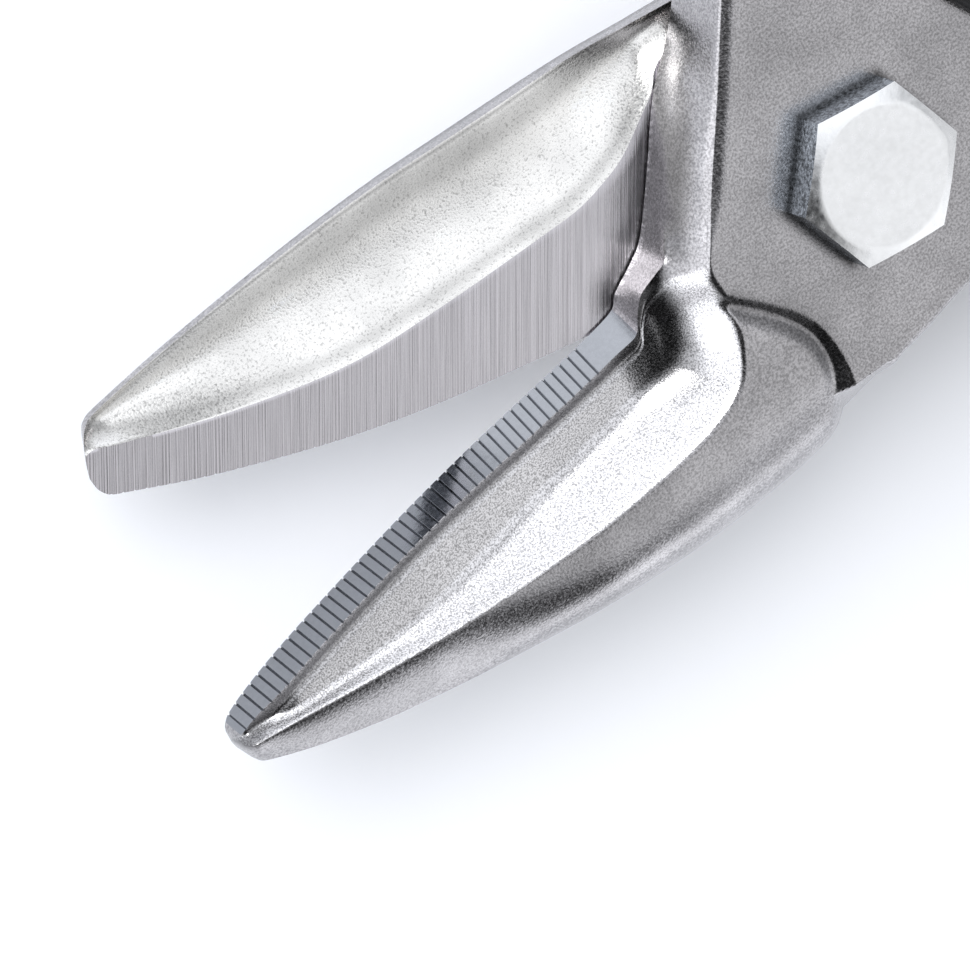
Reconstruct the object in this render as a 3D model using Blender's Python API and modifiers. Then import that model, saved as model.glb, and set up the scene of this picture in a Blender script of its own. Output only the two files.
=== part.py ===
"""Aviation snips with compound action, lying flat, open at the spring stop.

X runs from the blade tips to the handles, Y from the lower jaw to the upper
jaw, Z up the pivot bolt. The origin is on the pivot axis, on the plane that
the tool rests on. Sizes are in millimetres and turned into metres by MM.
"""
import math

import bmesh
import bpy
from mathutils import Matrix, Vector

MM = 0.001

# Clearances
SHEAR_GAP = 0.2
SEAT = 0.1
RUN = 0.2
OPEN_PIVOT_PLAY = 0.45
GRIP_PLAY = 0.3
SWEEP_PLAY = 0.8

# Jaws
PLATE_T = 6.1
BOSS_R = 6.5
TAIL_RADIUS = 22.83
TAIL_ANGLE = math.radians(19.0)
JAW_SWING = math.radians(19.2)
STRIP_H = 2.9
RELIEF_TIP = 1.1
RELIEF_ROOT = 0.5
HOLLOW_DEPTH = 0.5

# Pivot bolt
HEX_ACROSS = 11.1
HEAD_T = 2.5
BOLT_R = 3.2
HEX_TURN = math.radians(54.5)
WASHER_R = 7.5
WASHER_T = 1.2
NUT_T = 3.4

# Handles
LINK = 18.5
FLANGE_T = 1.8
RIVET_R = 2.5
RIVET_HEAD_R = 4.2
RIVET_HEAD_T = 1.1
REST_MARGIN = 0.1
SPACER_WALL = 1.5
NECK_HALF = 6.2
ARM_FROM_PIVOT = Vector((23.5, 17.8))
ARM_ANGLE = math.radians(15.1)
BLOCK_L = 6.0

# Grips, along and across the arm
GRIP_START = 0.4
GRIP_L = 124.0
GRIP_HALF_W = 11.0
TANG_L = 108.0
TANG_HALF_W = 4.5
TANG_HALF_T = 5.0
GRIP_ROUND = 3.5
PAD_FROM = 22.0
PAD_TO = 100.0
PAD_INNER = 7.6
PAD_HALF_T = 7.5

# Grip sides as shares of its length and half width, with corner radii
GRIP_BACK = [(0.05, 1.18, 0.55), (0.16, 1.0, 1.1), (0.48, 1.09, 5.5), (0.81, 0.96, 3.6),
             (1.0, 1.0, 0.8)]
GRIP_FRONT = [(1.0, -0.76, 0.73), (0.81, -0.75, 3.6), (0.48, -0.93, 5.5), (0.16, -0.78, 1.1),
              (0.056, -0.87, 0.55)]

# Return spring on the handle pivot
WIRE_R = 0.7
COIL_R = 5.6
COIL_PITCH = 2.0
COIL_TURNS = 3.5
COIL_POINTS = 10
LEG_L = 14.0

# Latch, placed from the handle pivot with the handles shut
LATCH_T = 1.5
LATCH_PIVOT = Vector((9.0, -9.0))
CATCH_SHUT = Vector((17.0, 4.5))
CATCH_R = 1.8
CATCH_PLAY = 0.4
LATCH_EYE_R = 4.0
LATCH_PIN_R = 1.8
LATCH_STOWED = math.radians(-20.0)
LATCH_HEAD_T = 1.0
LATCH_SINK = 0.7

# Heights from the shear plane
JAW_IN = SHEAR_GAP / 2
JAW_OUT = JAW_IN + PLATE_T
UPPER_IN = JAW_OUT + RUN
UPPER_OUT = UPPER_IN + FLANGE_T
LOWER_IN = UPPER_OUT + RUN
LOWER_OUT = LOWER_IN + FLANGE_T
RIVET_TOP = LOWER_OUT + SEAT + RIVET_HEAD_T
SHEAR_Z = RIVET_TOP + REST_MARGIN
LATCH_Z = RIVET_TOP + RUN
LATCH_TOP = LATCH_Z + LATCH_T

# Linkage points at rest
TAIL_X = TAIL_RADIUS * math.cos(TAIL_ANGLE)
TAIL_Y = TAIL_RADIUS * math.sin(TAIL_ANGLE)
LINK_PIVOT = Vector((TAIL_X + math.sqrt(LINK ** 2 - TAIL_Y ** 2), 0.0))
CLEAR_R = TAIL_RADIUS - BOSS_R - SWEEP_PLAY


def link_angle(tail_angle):
    return math.asin(TAIL_RADIUS * math.sin(tail_angle) / LINK)


HANDLE_SWING = 2 * (link_angle(TAIL_ANGLE + JAW_SWING / 2) - link_angle(TAIL_ANGLE))

# Blade curves in plan, tip to root: edge, ridge with its height, spine, ground limit
LOWER_BLADE = {
    "edge": [(-56.4, -9.2), (-45.0, -5.8), (-34.0, -3.4), (-21.0, -1.4), (-8.0, -0.4)],
    "ridge": [(-56.0, -10.4, 3.6), (-46.0, -11.5, 4.4), (-35.0, -11.4, 5.2),
              (-25.0, -10.5, 5.8), (-8.0, -7.5, 6.1)],
    "spine": [(-56.0, -12.0), (-49.0, -14.7), (-38.0, -16.9), (-24.0, -18.3),
              (-14.0, -18.1), (-8.0, -16.2)],
    "ground": [(-56.0, -11.4), (-46.0, -10.5), (-29.0, -9.2), (-8.0, -10.0)],
    "tip": -56.4,
    "side": 1,
}
UPPER_BLADE = {
    "edge": [(-56.0, 9.2), (-45.0, 4.6), (-34.0, 1.2), (-22.0, -1.3), (-8.0, -4.6)],
    "ridge": [(-56.0, 11.0, 3.6), (-46.0, 10.6, 4.4), (-35.0, 10.0, 5.2),
              (-25.0, 9.3, 5.8), (-8.0, 6.5, 6.1)],
    "spine": [(-56.0, 12.6), (-49.0, 14.6), (-36.0, 15.9), (-26.0, 16.25),
              (-14.0, 16.05), (-8.0, 15.7)],
    "ground": [(-56.0, 12.2), (-46.0, 9.1), (-37.0, 6.95), (-21.0, 6.6), (-8.0, 10.5)],
    "tip": -56.2,
    "side": -1,
}
# Jaw plates in plan, corners with radii
LOWER_PLATE_FRONT = [(-13.7, 0.0, 0), (-2.7, 19.0, 3.0)]
LOWER_PLATE_BACK = [(14.0, -12.3, 4.0), (3.4, -12.2, 6.0), (-3.8, -13.4, 3.0),
                    (-7.4, -13.9, 0.5), (-11.0, -10.0, 0), (-12.5, -3.0, 0)]
LOWER_FOOT = [(-18.5, -1.6, 0), (-17.6, 0.0, 1.0), (-14.6, 2.4, 3.0), (-8.4, 11.6, 3.0),
              (-4.6, 16.0, 1.0), (0.0, 12.0, 0), (-4.0, -6.0, 0), (-12.0, -6.0, 0)]
UPPER_PLATE_FRONT = [(13.0, 13.3, 4.0), (5.0, 14.4, 6.0), (-5.3, 15.4, 2.0), (-9.5, 15.2, 0),
                     (-14.0, 8.0, 0), (-14.5, -2.0, 0), (-13.0, -7.5, 3.0), (-8.0, -12.6, 4.0)]
LOWER_ARC = (62.0, -6.0)
UPPER_ARC = (-75.0, 6.0)
BLADE_ROOT = -8.0
BLADE_STATIONS = 22
TIP_ROUND = 0.7
TIP_SHRINK = 0.62


def material(name, colour, roughness, metallic):
    made = bpy.data.materials.new(name)
    made.use_nodes = True
    shader = made.node_tree.nodes["Principled BSDF"]
    shader.inputs["Base Color"].default_value = (*colour, 1.0)
    shader.inputs["Roughness"].default_value = roughness
    shader.inputs["Metallic"].default_value = metallic
    return made


def new_collection(name):
    made = bpy.data.collections.new(name)
    bpy.context.scene.collection.children.link(made)
    return made


for old in list(bpy.data.objects):
    bpy.data.objects.remove(old)
PARTS = new_collection("aviation_snips")
TOOLS = new_collection("cutters")

PLATED = material("plated_steel", (0.72, 0.72, 0.74), 0.38, 1.0)
ZINC = material("zinc_fastener", (0.80, 0.81, 0.84), 0.30, 1.0)
BLACK = material("black_steel", (0.03, 0.03, 0.032), 0.45, 0.6)
SPRING = material("spring_steel", (0.35, 0.35, 0.37), 0.35, 1.0)
RED = material("red_grip", (0.50, 0.02, 0.02), 0.55, 0.0)
DARK = material("dark_pad", (0.025, 0.025, 0.027), 0.70, 0.0)


def add_mesh(name, bm, mat):
    bmesh.ops.recalc_face_normals(bm, faces=bm.faces)
    mesh = bpy.data.meshes.new(name)
    bm.to_mesh(mesh)
    bm.free()
    made = bpy.data.objects.new(name, mesh)
    PARTS.objects.link(made)
    mesh.materials.append(mat)
    return made


def plan(points, centre, angle, mirror):
    """Turn outline points about a centre and mirror them to the lower side if asked."""
    turned_points = []
    for x, y in points:
        along = x * math.cos(angle) - y * math.sin(angle) + centre[0]
        across = x * math.sin(angle) + y * math.cos(angle) + centre[1]
        turned_points.append((along, across * mirror))
    return turned_points


def rounded(corners, step=math.radians(22.5)):
    """Outline with arcs: each corner is (x, y, radius)."""
    outline = []
    count = len(corners)
    for index, (x, y, radius) in enumerate(corners):
        here = Vector((x, y))
        back = Vector(corners[index - 1][:2]) - here
        ahead = Vector(corners[(index + 1) % count][:2]) - here
        opening = back.angle(ahead)
        if radius <= 0 or opening > math.pi - 0.02:
            outline.append((x, y))
            continue
        reach = min(radius / math.tan(opening / 2), 0.45 * back.length, 0.45 * ahead.length)
        radius = reach * math.tan(opening / 2)
        centre = here + (back.normalized() + ahead.normalized()).normalized() * (
            radius / math.sin(opening / 2))
        start = here + back.normalized() * reach - centre
        turn = start.angle_signed(here + ahead.normalized() * reach - centre)
        pieces = max(2, math.ceil(abs(turn) / step))
        for piece in range(pieces + 1):
            spoke = start.copy()
            spoke.rotate(Matrix.Rotation(-turn * piece / pieces, 2))
            outline.append(tuple(centre + spoke))
    return outline


def slab(name, outline, low, high, mat, edge=0.0):
    """Flat outline with a thickness, low to high from the shear plane, its rims rounded by edge."""
    curve = bpy.data.curves.new(name, "CURVE")
    curve.dimensions = "2D"
    curve.fill_mode = "BOTH"
    curve.extrude = ((high - low) / 2 - edge) * MM
    curve.bevel_depth = edge * MM
    curve.offset = -edge * MM
    curve.bevel_resolution = 1
    spline = curve.splines.new("POLY")
    spline.points.add(len(outline) - 1)
    for point, (x, y) in zip(spline.points, outline):
        point.co = (x * MM, y * MM, 0.0, 1.0)
    spline.use_cyclic_u = True
    drawn = bpy.data.objects.new(name + "_outline", curve)
    drawn.location.z = (SHEAR_Z + (high + low) / 2) * MM
    PARTS.objects.link(drawn)
    return solidified(drawn, name, mat)


def solidified(drawn, name, mat):
    """Mesh object made from a curve object, with its caps welded."""
    bpy.context.view_layer.update()
    graph = bpy.context.evaluated_depsgraph_get()
    mesh = bpy.data.meshes.new_from_object(drawn.evaluated_get(graph))
    mesh.transform(drawn.matrix_world)
    bm = bmesh.new()
    bm.from_mesh(mesh)
    bmesh.ops.remove_doubles(bm, verts=bm.verts, dist=1e-6)
    bmesh.ops.dissolve_limit(bm, angle_limit=1e-4, verts=bm.verts, edges=bm.edges)
    bpy.data.meshes.remove(mesh)
    bpy.data.objects.remove(drawn)
    return add_mesh(name, bm, mat)


def turned(name, profile, centre, mat, steps=24):
    """Round piece: profile of (radius, height) running down its outer side."""
    mesh = bpy.data.meshes.new(name)
    points = [(r * MM, 0.0, (z + SHEAR_Z) * MM) for r, z in profile]
    closed = profile[0][0] > 0
    edges = [(i, i + 1) for i in range(len(points) - 1)]
    if closed:
        edges.append((len(points) - 1, 0))
    mesh.from_pydata(points, edges, [])
    mesh.materials.append(mat)
    made = bpy.data.objects.new(name, mesh)
    made.location = (centre[0] * MM, centre[1] * MM, 0.0)
    PARTS.objects.link(made)
    screw = made.modifiers.new("Turn", "SCREW")
    screw.steps = steps
    screw.render_steps = steps
    screw.use_merge_vertices = True
    screw.merge_threshold = 1e-6
    return made


def drum(name, radius, low, high, centre, mat):
    return turned(name, [(0.0, high), (radius, high), (radius, low), (0.0, low)], centre, mat)


def use_tool(target, tool, operation):
    """Join, cut or trim the target with a hidden tool object."""
    for home in list(tool.users_collection):
        home.objects.unlink(tool)
    TOOLS.objects.link(tool)
    tool.hide_render = True
    tool.display_type = "WIRE"
    boolean = target.modifiers.new(operation.title(), "BOOLEAN")
    boolean.operation = operation
    boolean.object = tool


def join(target, tool):
    use_tool(target, tool, "UNION")


def cut(target, tool):
    use_tool(target, tool, "DIFFERENCE")


def along(points, x):
    """Smooth curve through control points, read at x."""
    if x <= points[0][0]:
        return points[0][1:]
    if x >= points[-1][0]:
        return points[-1][1:]
    index = next(i for i in range(len(points) - 1) if points[i + 1][0] >= x)
    first, second = points[index], points[index + 1]
    before = points[max(index - 1, 0)]
    after = points[min(index + 2, len(points) - 1)]
    span = second[0] - first[0]
    t = (x - first[0]) / span
    values = []
    for axis in range(1, len(first)):
        slope_in = (second[axis] - before[axis]) / (second[0] - before[0]) * span
        slope_out = (after[axis] - first[axis]) / (after[0] - first[0]) * span
        rise = second[axis] - first[axis]
        bend_in = slope_in - rise
        bend_out = rise - slope_out
        values.append(first[axis] + t * rise
                      + t * (1 - t) * (bend_in * (1 - t) + bend_out * t))
    return tuple(values)


def blade_section(blade, x):
    """Section across a blade at x: edge strip, lip, hollow flute, ridge, spine, inner hollow."""
    side = blade["side"]
    to_spine = -side
    edge = along(blade["edge"], x)[0]
    ridge, ridge_z = along(blade["ridge"], x)
    spine = along(blade["spine"], x)[0]
    ground = along(blade["ground"], x)[0]
    travel = (x - blade["tip"]) / (BLADE_ROOT - blade["tip"])
    relief = RELIEF_TIP - (RELIEF_TIP - RELIEF_ROOT) * travel
    strip = min(STRIP_H, 0.85 * ridge_z)
    lip = edge + to_spine * relief
    face = JAW_IN + SEAT / 2
    outline = [
        (edge, face),
        (lip, strip),
        (lip + to_spine * 0.7, strip - 0.35),
        (lip + 0.45 * (ridge - lip), strip - 0.1),
        (lip + 0.75 * (ridge - lip), strip + 0.25 * (ridge_z - strip)),
        (lip + 0.93 * (ridge - lip), strip + 0.80 * (ridge_z - strip)),
        (ridge, ridge_z),
        (ridge + 0.45 * (spine - ridge), ridge_z - 0.12 * (ridge_z - face)),
        (ridge + 0.80 * (spine - ridge), ridge_z - 0.38 * (ridge_z - face)),
        (spine - to_spine * 0.2, face + 0.38 * (ridge_z - face)),
        (spine, face + 0.24 * (ridge_z - face)),
        (spine - to_spine * 0.1, face + HOLLOW_DEPTH + 0.2),
        (spine - to_spine * 0.6, face + HOLLOW_DEPTH),
        (0.5 * (spine + ground), face + 0.8 * HOLLOW_DEPTH),
        (ground, face),
    ]
    return [Vector((x, y, side * z)) for y, z in outline]


def loft(name, sections, mat):
    bm = bmesh.new()
    rings = []
    for section in sections:
        rings.append([bm.verts.new(Vector((p.x, p.y, p.z + SHEAR_Z)) * MM) for p in section])
    size = len(rings[0])
    for ring, after in zip(rings, rings[1:]):
        for i in range(size):
            j = (i + 1) % size
            bm.faces.new((ring[i], ring[j], after[j], after[i]))
    bm.faces.new(rings[0])
    bm.faces.new(rings[-1])
    bmesh.ops.triangulate(bm, faces=bm.faces)
    return add_mesh(name, bm, mat)


def blade(name, shape):
    """Blade from its rounded tip to the root, which lies inside the jaw plate."""
    tip = shape["tip"]
    first = blade_section(shape, tip + TIP_ROUND)
    middle = sum(first, Vector()) / len(first)
    shrunk = [middle + TIP_SHRINK * (p - middle) for p in first]
    sections = [[Vector((tip, p.y, side_floor(shape, p.z))) for p in shrunk], first]
    start = tip + 2 * TIP_ROUND
    for step in range(BLADE_STATIONS):
        x = start + (BLADE_ROOT - start) * step / (BLADE_STATIONS - 1)
        sections.append(blade_section(shape, x))
    return loft(name, sections, PLATED)


def side_floor(shape, height):
    """Keep a tip height on its own side of the shear plane."""
    side = shape["side"]
    return side * max(side * height, JAW_IN + SEAT / 2)


def arc(radius, start, end, count):
    points = []
    for i in range(count):
        angle = math.radians(start + (end - start) * i / (count - 1))
        points.append((radius * math.cos(angle), radius * math.sin(angle), 0))
    return points


def lower_plate_outline():
    tail = [(TAIL_X, -TAIL_Y + 0.8 * BOSS_R, 0), (TAIL_X, -TAIL_Y - 0.85 * BOSS_R, 0)]
    return rounded(LOWER_PLATE_FRONT + arc(CLEAR_R, *LOWER_ARC, 7) + tail + LOWER_PLATE_BACK)


def lower_base_outline():
    """Foot of the plate's front wall, wider than its top."""
    return rounded(LOWER_FOOT)


def upper_plate_outline():
    tail = [(TAIL_X, TAIL_Y - 0.8 * BOSS_R, 0), (TAIL_X, TAIL_Y + 0.85 * BOSS_R, 0)]
    return rounded(UPPER_PLATE_FRONT + arc(CLEAR_R, *UPPER_ARC, 8) + tail)


LOWER_TAIL = (TAIL_X, -TAIL_Y)
UPPER_TAIL = (TAIL_X, TAIL_Y)


def jaw(name, shape, outline, tail):
    side = shape["side"]
    low, high = sorted((side * JAW_IN, side * JAW_OUT))
    made = slab(name, outline, low, high, PLATED)
    if side > 0:
        join(made, slab(name + "_foot", lower_base_outline(), low + SEAT / 4, STRIP_H, PLATED))
    join(made, blade(name + "_blade", shape))
    join(made, drum(name + "_boss", BOSS_R, -JAW_OUT, JAW_OUT, tail, PLATED))
    reach = JAW_OUT + PLATE_T
    cut(made, drum(name + "_bolt_hole", BOLT_R + RUN, -reach, reach, (0, 0), PLATED))
    cut(made, drum(name + "_rivet_hole", RIVET_R + RUN, -reach, reach, tail, PLATED))
    return made


def hexagon(name, low, high):
    """Hexagon with a corner at HEX_TURN from X; a cone's first corner lies on Y."""
    bm = bmesh.new()
    corner = HEX_ACROSS / math.sqrt(3) * MM
    bmesh.ops.create_cone(bm, cap_ends=True, segments=6, radius1=corner, radius2=corner,
                          depth=(high - low) * MM)
    place = Matrix.Translation((0, 0, (SHEAR_Z + (high + low) / 2) * MM))
    turn = Matrix.Rotation(HEX_TURN - math.pi / 2, 4, "Z")
    bmesh.ops.transform(bm, matrix=place @ turn, verts=bm.verts)
    return add_mesh(name, bm, ZINC)


def pivot_fasteners():
    head_low = JAW_OUT + SEAT
    bolt = hexagon("pivot_bolt", head_low, head_low + HEAD_T)
    join(bolt, drum("bolt_shank", BOLT_R, -SHEAR_Z, head_low + HEAD_T / 2, (0, 0), ZINC))
    washer_top = -JAW_OUT - SEAT
    bore = BOLT_R + SEAT
    washer = turned("pivot_washer", [(bore, washer_top), (WASHER_R, washer_top),
                                     (WASHER_R, washer_top - WASHER_T),
                                     (bore, washer_top - WASHER_T)], (0, 0), ZINC)
    nut_top = washer_top - WASHER_T - SEAT
    nut = hexagon("pivot_nut", nut_top - NUT_T, nut_top)
    cut(nut, drum("nut_bore", bore, nut_top - 2 * NUT_T, nut_top + NUT_T, (0, 0), ZINC))
    return [bolt, washer, nut]


def rivet(name, centre, half):
    """Rivet with a domed head at each end, half the grip length from the shear plane."""
    head = half + SEAT
    top = head + RIVET_HEAD_T
    profile = [(0.0, top), (0.55 * RIVET_HEAD_R, top), (RIVET_HEAD_R, head), (RIVET_R, head)]
    profile += [(r, -z) for r, z in reversed(profile)]
    return turned(name, profile, centre, ZINC)


def ring(name, inner, outer, low, high, centre, mat):
    return turned(name, [(inner, high), (outer, high), (outer, low), (inner, low)], centre, mat)


ARM_END = LINK_PIVOT + ARM_FROM_PIVOT


def channel_outline(mirror):
    """Side view of a handle's stamped front, from the nose to the grip."""
    px = LINK_PIVOT.x
    top = TAIL_Y + BOSS_R + SWEEP_PLAY + FLANGE_T + RUN
    rear = plan([(0.0, -NECK_HALF), (0.0, NECK_HALF)], ARM_END, ARM_ANGLE, 1)
    corners = [(7.2, 12.2, 2.0), (13.2, 3.2, 2.5), (px - 7.5, -5.2, 4.0), (px - 0.5, -7.4, 5.0),
               (px + 8.0, -4.6, 5.0), (*rear[0], 0), (*rear[1], 0),
               (px + 7.5, top + 2.4, 8.0), (px - 8.5, top + 0.6, 8.0), (TAIL_X - 8.0, top - 0.2, 3.0)]
    return [(x, y * mirror) for x, y in rounded(corners)]


def channel_slot(mirror):
    """Room inside the channel, open at the nose and on the inner side."""
    px = LINK_PIVOT.x
    top = TAIL_Y + BOSS_R + SWEEP_PLAY + RUN
    rear = plan([(-BLOCK_L, NECK_HALF - FLANGE_T), (-BLOCK_L, -3 * NECK_HALF)],
                ARM_END, ARM_ANGLE, 1)
    far = 2 * top
    corners = [(-far, far), (TAIL_X - 6.0, far), (TAIL_X - 6.0, top - 0.2),
               (px - 8.5, top + 0.6), (px + 7.5, top + 2.4), rear[0], rear[1], (-far, -far)]
    return [(x, y * mirror) for x, y in corners]


def handle(name, mirror, inside, outside, pivot_play):
    tail = (TAIL_X, TAIL_Y * mirror)
    made = slab(name, channel_outline(mirror), -outside, outside, BLACK)
    cut(made, slab(name + "_slot", channel_slot(mirror), -inside, inside, BLACK))
    tang = plan([(-BLOCK_L / 2, -TANG_HALF_W), (TANG_L, -TANG_HALF_W),
                 (TANG_L, TANG_HALF_W), (-BLOCK_L / 2, TANG_HALF_W)],
                ARM_END, ARM_ANGLE, mirror)
    join(made, slab(name + "_tang", tang, -TANG_HALF_T, TANG_HALF_T, BLACK))
    reach = 2 * outside
    cut(made, drum(name + "_tail_hole", RIVET_R + RUN, -reach, reach, tail, BLACK))
    cut(made, drum(name + "_link_hole", RIVET_R + pivot_play, -reach, reach, LINK_PIVOT, BLACK))
    return made


def grip_outline(mirror):
    corners = [(GRIP_START, -0.73 * GRIP_HALF_W, 0.45 * GRIP_HALF_W),
               (GRIP_START, 0.73 * GRIP_HALF_W, 0.45 * GRIP_HALF_W)]
    for length, width, radius in GRIP_BACK + GRIP_FRONT:
        corners.append((length * GRIP_L, width * GRIP_HALF_W, radius * GRIP_HALF_W))
    return plan(rounded(corners), ARM_END, ARM_ANGLE, mirror)


def pad_box(mirror, play):
    far = 3 * PAD_INNER
    return plan([(PAD_FROM + play, PAD_INNER + play), (PAD_TO - play, PAD_INNER + play),
                 (PAD_TO - play, far), (PAD_FROM + play, far)], ARM_END, ARM_ANGLE, mirror)


def grip_form(name, mirror, mat):
    return slab(name, grip_outline(mirror), -SHEAR_Z, SHEAR_Z, mat, GRIP_ROUND)


def grip(name, mirror):
    made = grip_form(name, mirror, RED)
    half = TANG_HALF_W + GRIP_PLAY
    pocket = plan([(-BLOCK_L, -half), (TANG_L + GRIP_PLAY, -half),
                   (TANG_L + GRIP_PLAY, half), (-BLOCK_L, half)], ARM_END, ARM_ANGLE, mirror)
    deep = TANG_HALF_T + GRIP_PLAY
    cut(made, slab(name + "_pocket", pocket, -deep, deep, RED))
    cut(made, slab(name + "_recess", pad_box(mirror, 0.0), -PAD_HALF_T, PAD_HALF_T, RED))
    pad = grip_form(name + "_pad", mirror, DARK)
    inner = PAD_HALF_T - GRIP_PLAY
    use_tool(pad, slab(name + "_pad_trim", pad_box(mirror, GRIP_PLAY), -inner, inner, DARK),
             "INTERSECT")
    return [made, pad]


def return_spring():
    """Coil round the handle pivot with a straight leg into each channel."""
    centre = LINK_PIVOT
    length = COIL_PITCH * COIL_TURNS
    count = round(COIL_TURNS * COIL_POINTS)
    points = [Vector((LEG_L, -COIL_R, -length / 2))]
    for i in range(count + 1):
        angle = -math.pi / 2 - 2 * math.pi * COIL_TURNS * i / count
        points.append(Vector((COIL_R * math.cos(angle), COIL_R * math.sin(angle),
                              length * (i / count - 0.5))))
    points.append(Vector((LEG_L, COIL_R, length / 2)))
    curve = bpy.data.curves.new("return_spring", "CURVE")
    curve.dimensions = "3D"
    curve.bevel_depth = WIRE_R * MM
    curve.bevel_resolution = 1
    curve.use_fill_caps = True
    spline = curve.splines.new("POLY")
    spline.points.add(len(points) - 1)
    for point, p in zip(spline.points, points):
        point.co = ((centre.x + p.x) * MM, (centre.y + p.y) * MM, (SHEAR_Z + p.z) * MM, 1.0)
    drawn = bpy.data.objects.new("spring_path", curve)
    PARTS.objects.link(drawn)
    apart = COIL_POINTS // 2
    gap = min((points[i] - points[j]).length for i in range(1, count + 2)
              for j in range(i + apart, count + 2)) - 2 * WIRE_R
    print(f"return_spring least gap to itself {gap:.2f} mm")
    return solidified(drawn, "return_spring", SPRING)


def catch_centre():
    """Catch pin with the handles open: its shut place turned back about the pivot."""
    spot = CATCH_SHUT.copy()
    spot.rotate(Matrix.Rotation(HANDLE_SWING, 2))
    return LINK_PIVOT + spot


def latch():
    pivot = LINK_PIVOT + LATCH_PIVOT
    reach = (CATCH_SHUT - LATCH_PIVOT).length
    wide = CATCH_R + CATCH_PLAY
    near, far = reach - wide, reach + wide
    eye = LATCH_EYE_R
    corners = [(-eye, -eye, 0.95 * eye), (far, -eye - 0.2, 3.0), (far + 1.7, -eye + 0.5, 1.5),
               (far + 1.7, 3.2, 0.7), (far, 3.2, 0.4), (far, -wide, 0.9 * wide),
               (near, -wide, 0.9 * wide), (near, 3.2, 0.5), (0.6 * near, 2.6, 3.0),
               (0.3 * near, eye, 1.0), (-eye, eye, 0.95 * eye)]
    outline = plan(rounded(corners), pivot, LATCH_STOWED, 1)
    made = slab("latch", outline, LATCH_Z, LATCH_TOP, ZINC)
    reach_z = 2 * LATCH_TOP
    cut(made, drum("latch_hole", LATCH_PIN_R + RUN, -reach_z, reach_z, pivot, ZINC))
    return made


def latch_rivet():
    """Shoulder rivet that carries the latch, set flush into the lower handle's flange."""
    pivot = LINK_PIVOT + LATCH_PIVOT
    head = LATCH_TOP + SEAT
    shoulder = LATCH_Z - SEAT
    seat = LOWER_OUT + SEAT
    flush = LOWER_IN + SEAT
    wide = 0.85 * LATCH_EYE_R
    profile = [(0.0, head + LATCH_HEAD_T), (0.5 * wide, head + LATCH_HEAD_T), (wide, head),
               (LATCH_PIN_R, head), (LATCH_PIN_R, shoulder), (wide, shoulder), (wide, seat),
               (LATCH_PIN_R, seat), (LATCH_PIN_R, flush + LATCH_SINK),
               (LATCH_PIN_R + LATCH_SINK, flush), (0.0, flush)]
    return turned("latch_rivet", profile, pivot, ZINC)


def latch_countersink(target):
    """Hole for the latch rivet, widened towards the inside of the flange."""
    bore = LATCH_PIN_R + SEAT
    top = LOWER_IN + 1.5 * SEAT + LATCH_SINK
    drop = LATCH_SINK + LATCH_HEAD_T
    profile = [(0.0, 2 * LOWER_OUT), (bore, 2 * LOWER_OUT), (bore, top),
               (bore + drop, top - drop), (0.0, top - drop)]
    cut(target, turned("latch_countersink", profile, LINK_PIVOT + LATCH_PIVOT, BLACK))


def catch_pin():
    top = LATCH_TOP + RUN
    seat = UPPER_OUT + SEAT
    inner = UPPER_IN - SEAT
    wide = 1.5 * CATCH_R
    profile = [(0.0, top), (CATCH_R - 0.3, top), (CATCH_R, top - 0.3), (CATCH_R, seat),
               (CATCH_R, inner), (wide, inner), (wide, inner - LATCH_HEAD_T),
               (0.0, inner - LATCH_HEAD_T)]
    return turned("latch_catch_pin", profile, catch_centre(), ZINC)


def pin_hole(target, centre, radius):
    """Hole for a pin through the flange on the bolt head's side."""
    cut(target, drum(target.name + "_pin_hole", radius, 0.0, 2 * LOWER_OUT, centre, BLACK))


def hang(name, centre, pieces):
    """Empty on a joint axis, which carries the pieces that turn about it."""
    empty = bpy.data.objects.new(name, None)
    empty.location = (centre[0] * MM, centre[1] * MM, SHEAR_Z * MM)
    PARTS.objects.link(empty)
    bpy.context.view_layer.update()
    for piece in pieces:
        piece.parent = empty
        piece.matrix_parent_inverse = empty.matrix_world.inverted()


lower_jaw = jaw("lower_jaw", LOWER_BLADE, lower_plate_outline(), LOWER_TAIL)
upper_jaw = jaw("upper_jaw", UPPER_BLADE, upper_plate_outline(), UPPER_TAIL)
fasteners = pivot_fasteners()
lower_rivet = rivet("lower_tail_rivet", LOWER_TAIL, LOWER_OUT)
upper_rivet = rivet("upper_tail_rivet", UPPER_TAIL, UPPER_OUT)
washer_bore = RIVET_R + SEAT
washer_top = ring("lower_tail_washer_top", washer_bore, 5.0, JAW_OUT + SEAT, LOWER_IN - SEAT,
                  LOWER_TAIL, ZINC)
washer_bottom = ring("lower_tail_washer_bottom", washer_bore, 5.0, -LOWER_IN + SEAT,
                     -JAW_OUT - SEAT, LOWER_TAIL, ZINC)

upper_handle = handle("upper_handle", 1, UPPER_IN, UPPER_OUT, OPEN_PIVOT_PLAY)
lower_handle = handle("lower_handle", -1, LOWER_IN, LOWER_OUT, RUN)
pin_hole(upper_handle, catch_centre(), CATCH_R + SEAT)
latch_countersink(lower_handle)
upper_grip = grip("upper_grip", 1)
lower_grip = grip("lower_grip", -1)
handle_rivet = rivet("handle_rivet", LINK_PIVOT, LOWER_OUT)
spacer = ring("handle_pivot_spacer", RIVET_R + RUN, RIVET_R + RUN + SPACER_WALL,
              -JAW_OUT, JAW_OUT, LINK_PIVOT, ZINC)
spring = return_spring()
latch_plate = latch()
latch_pin = latch_rivet()
catch = catch_pin()

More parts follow.
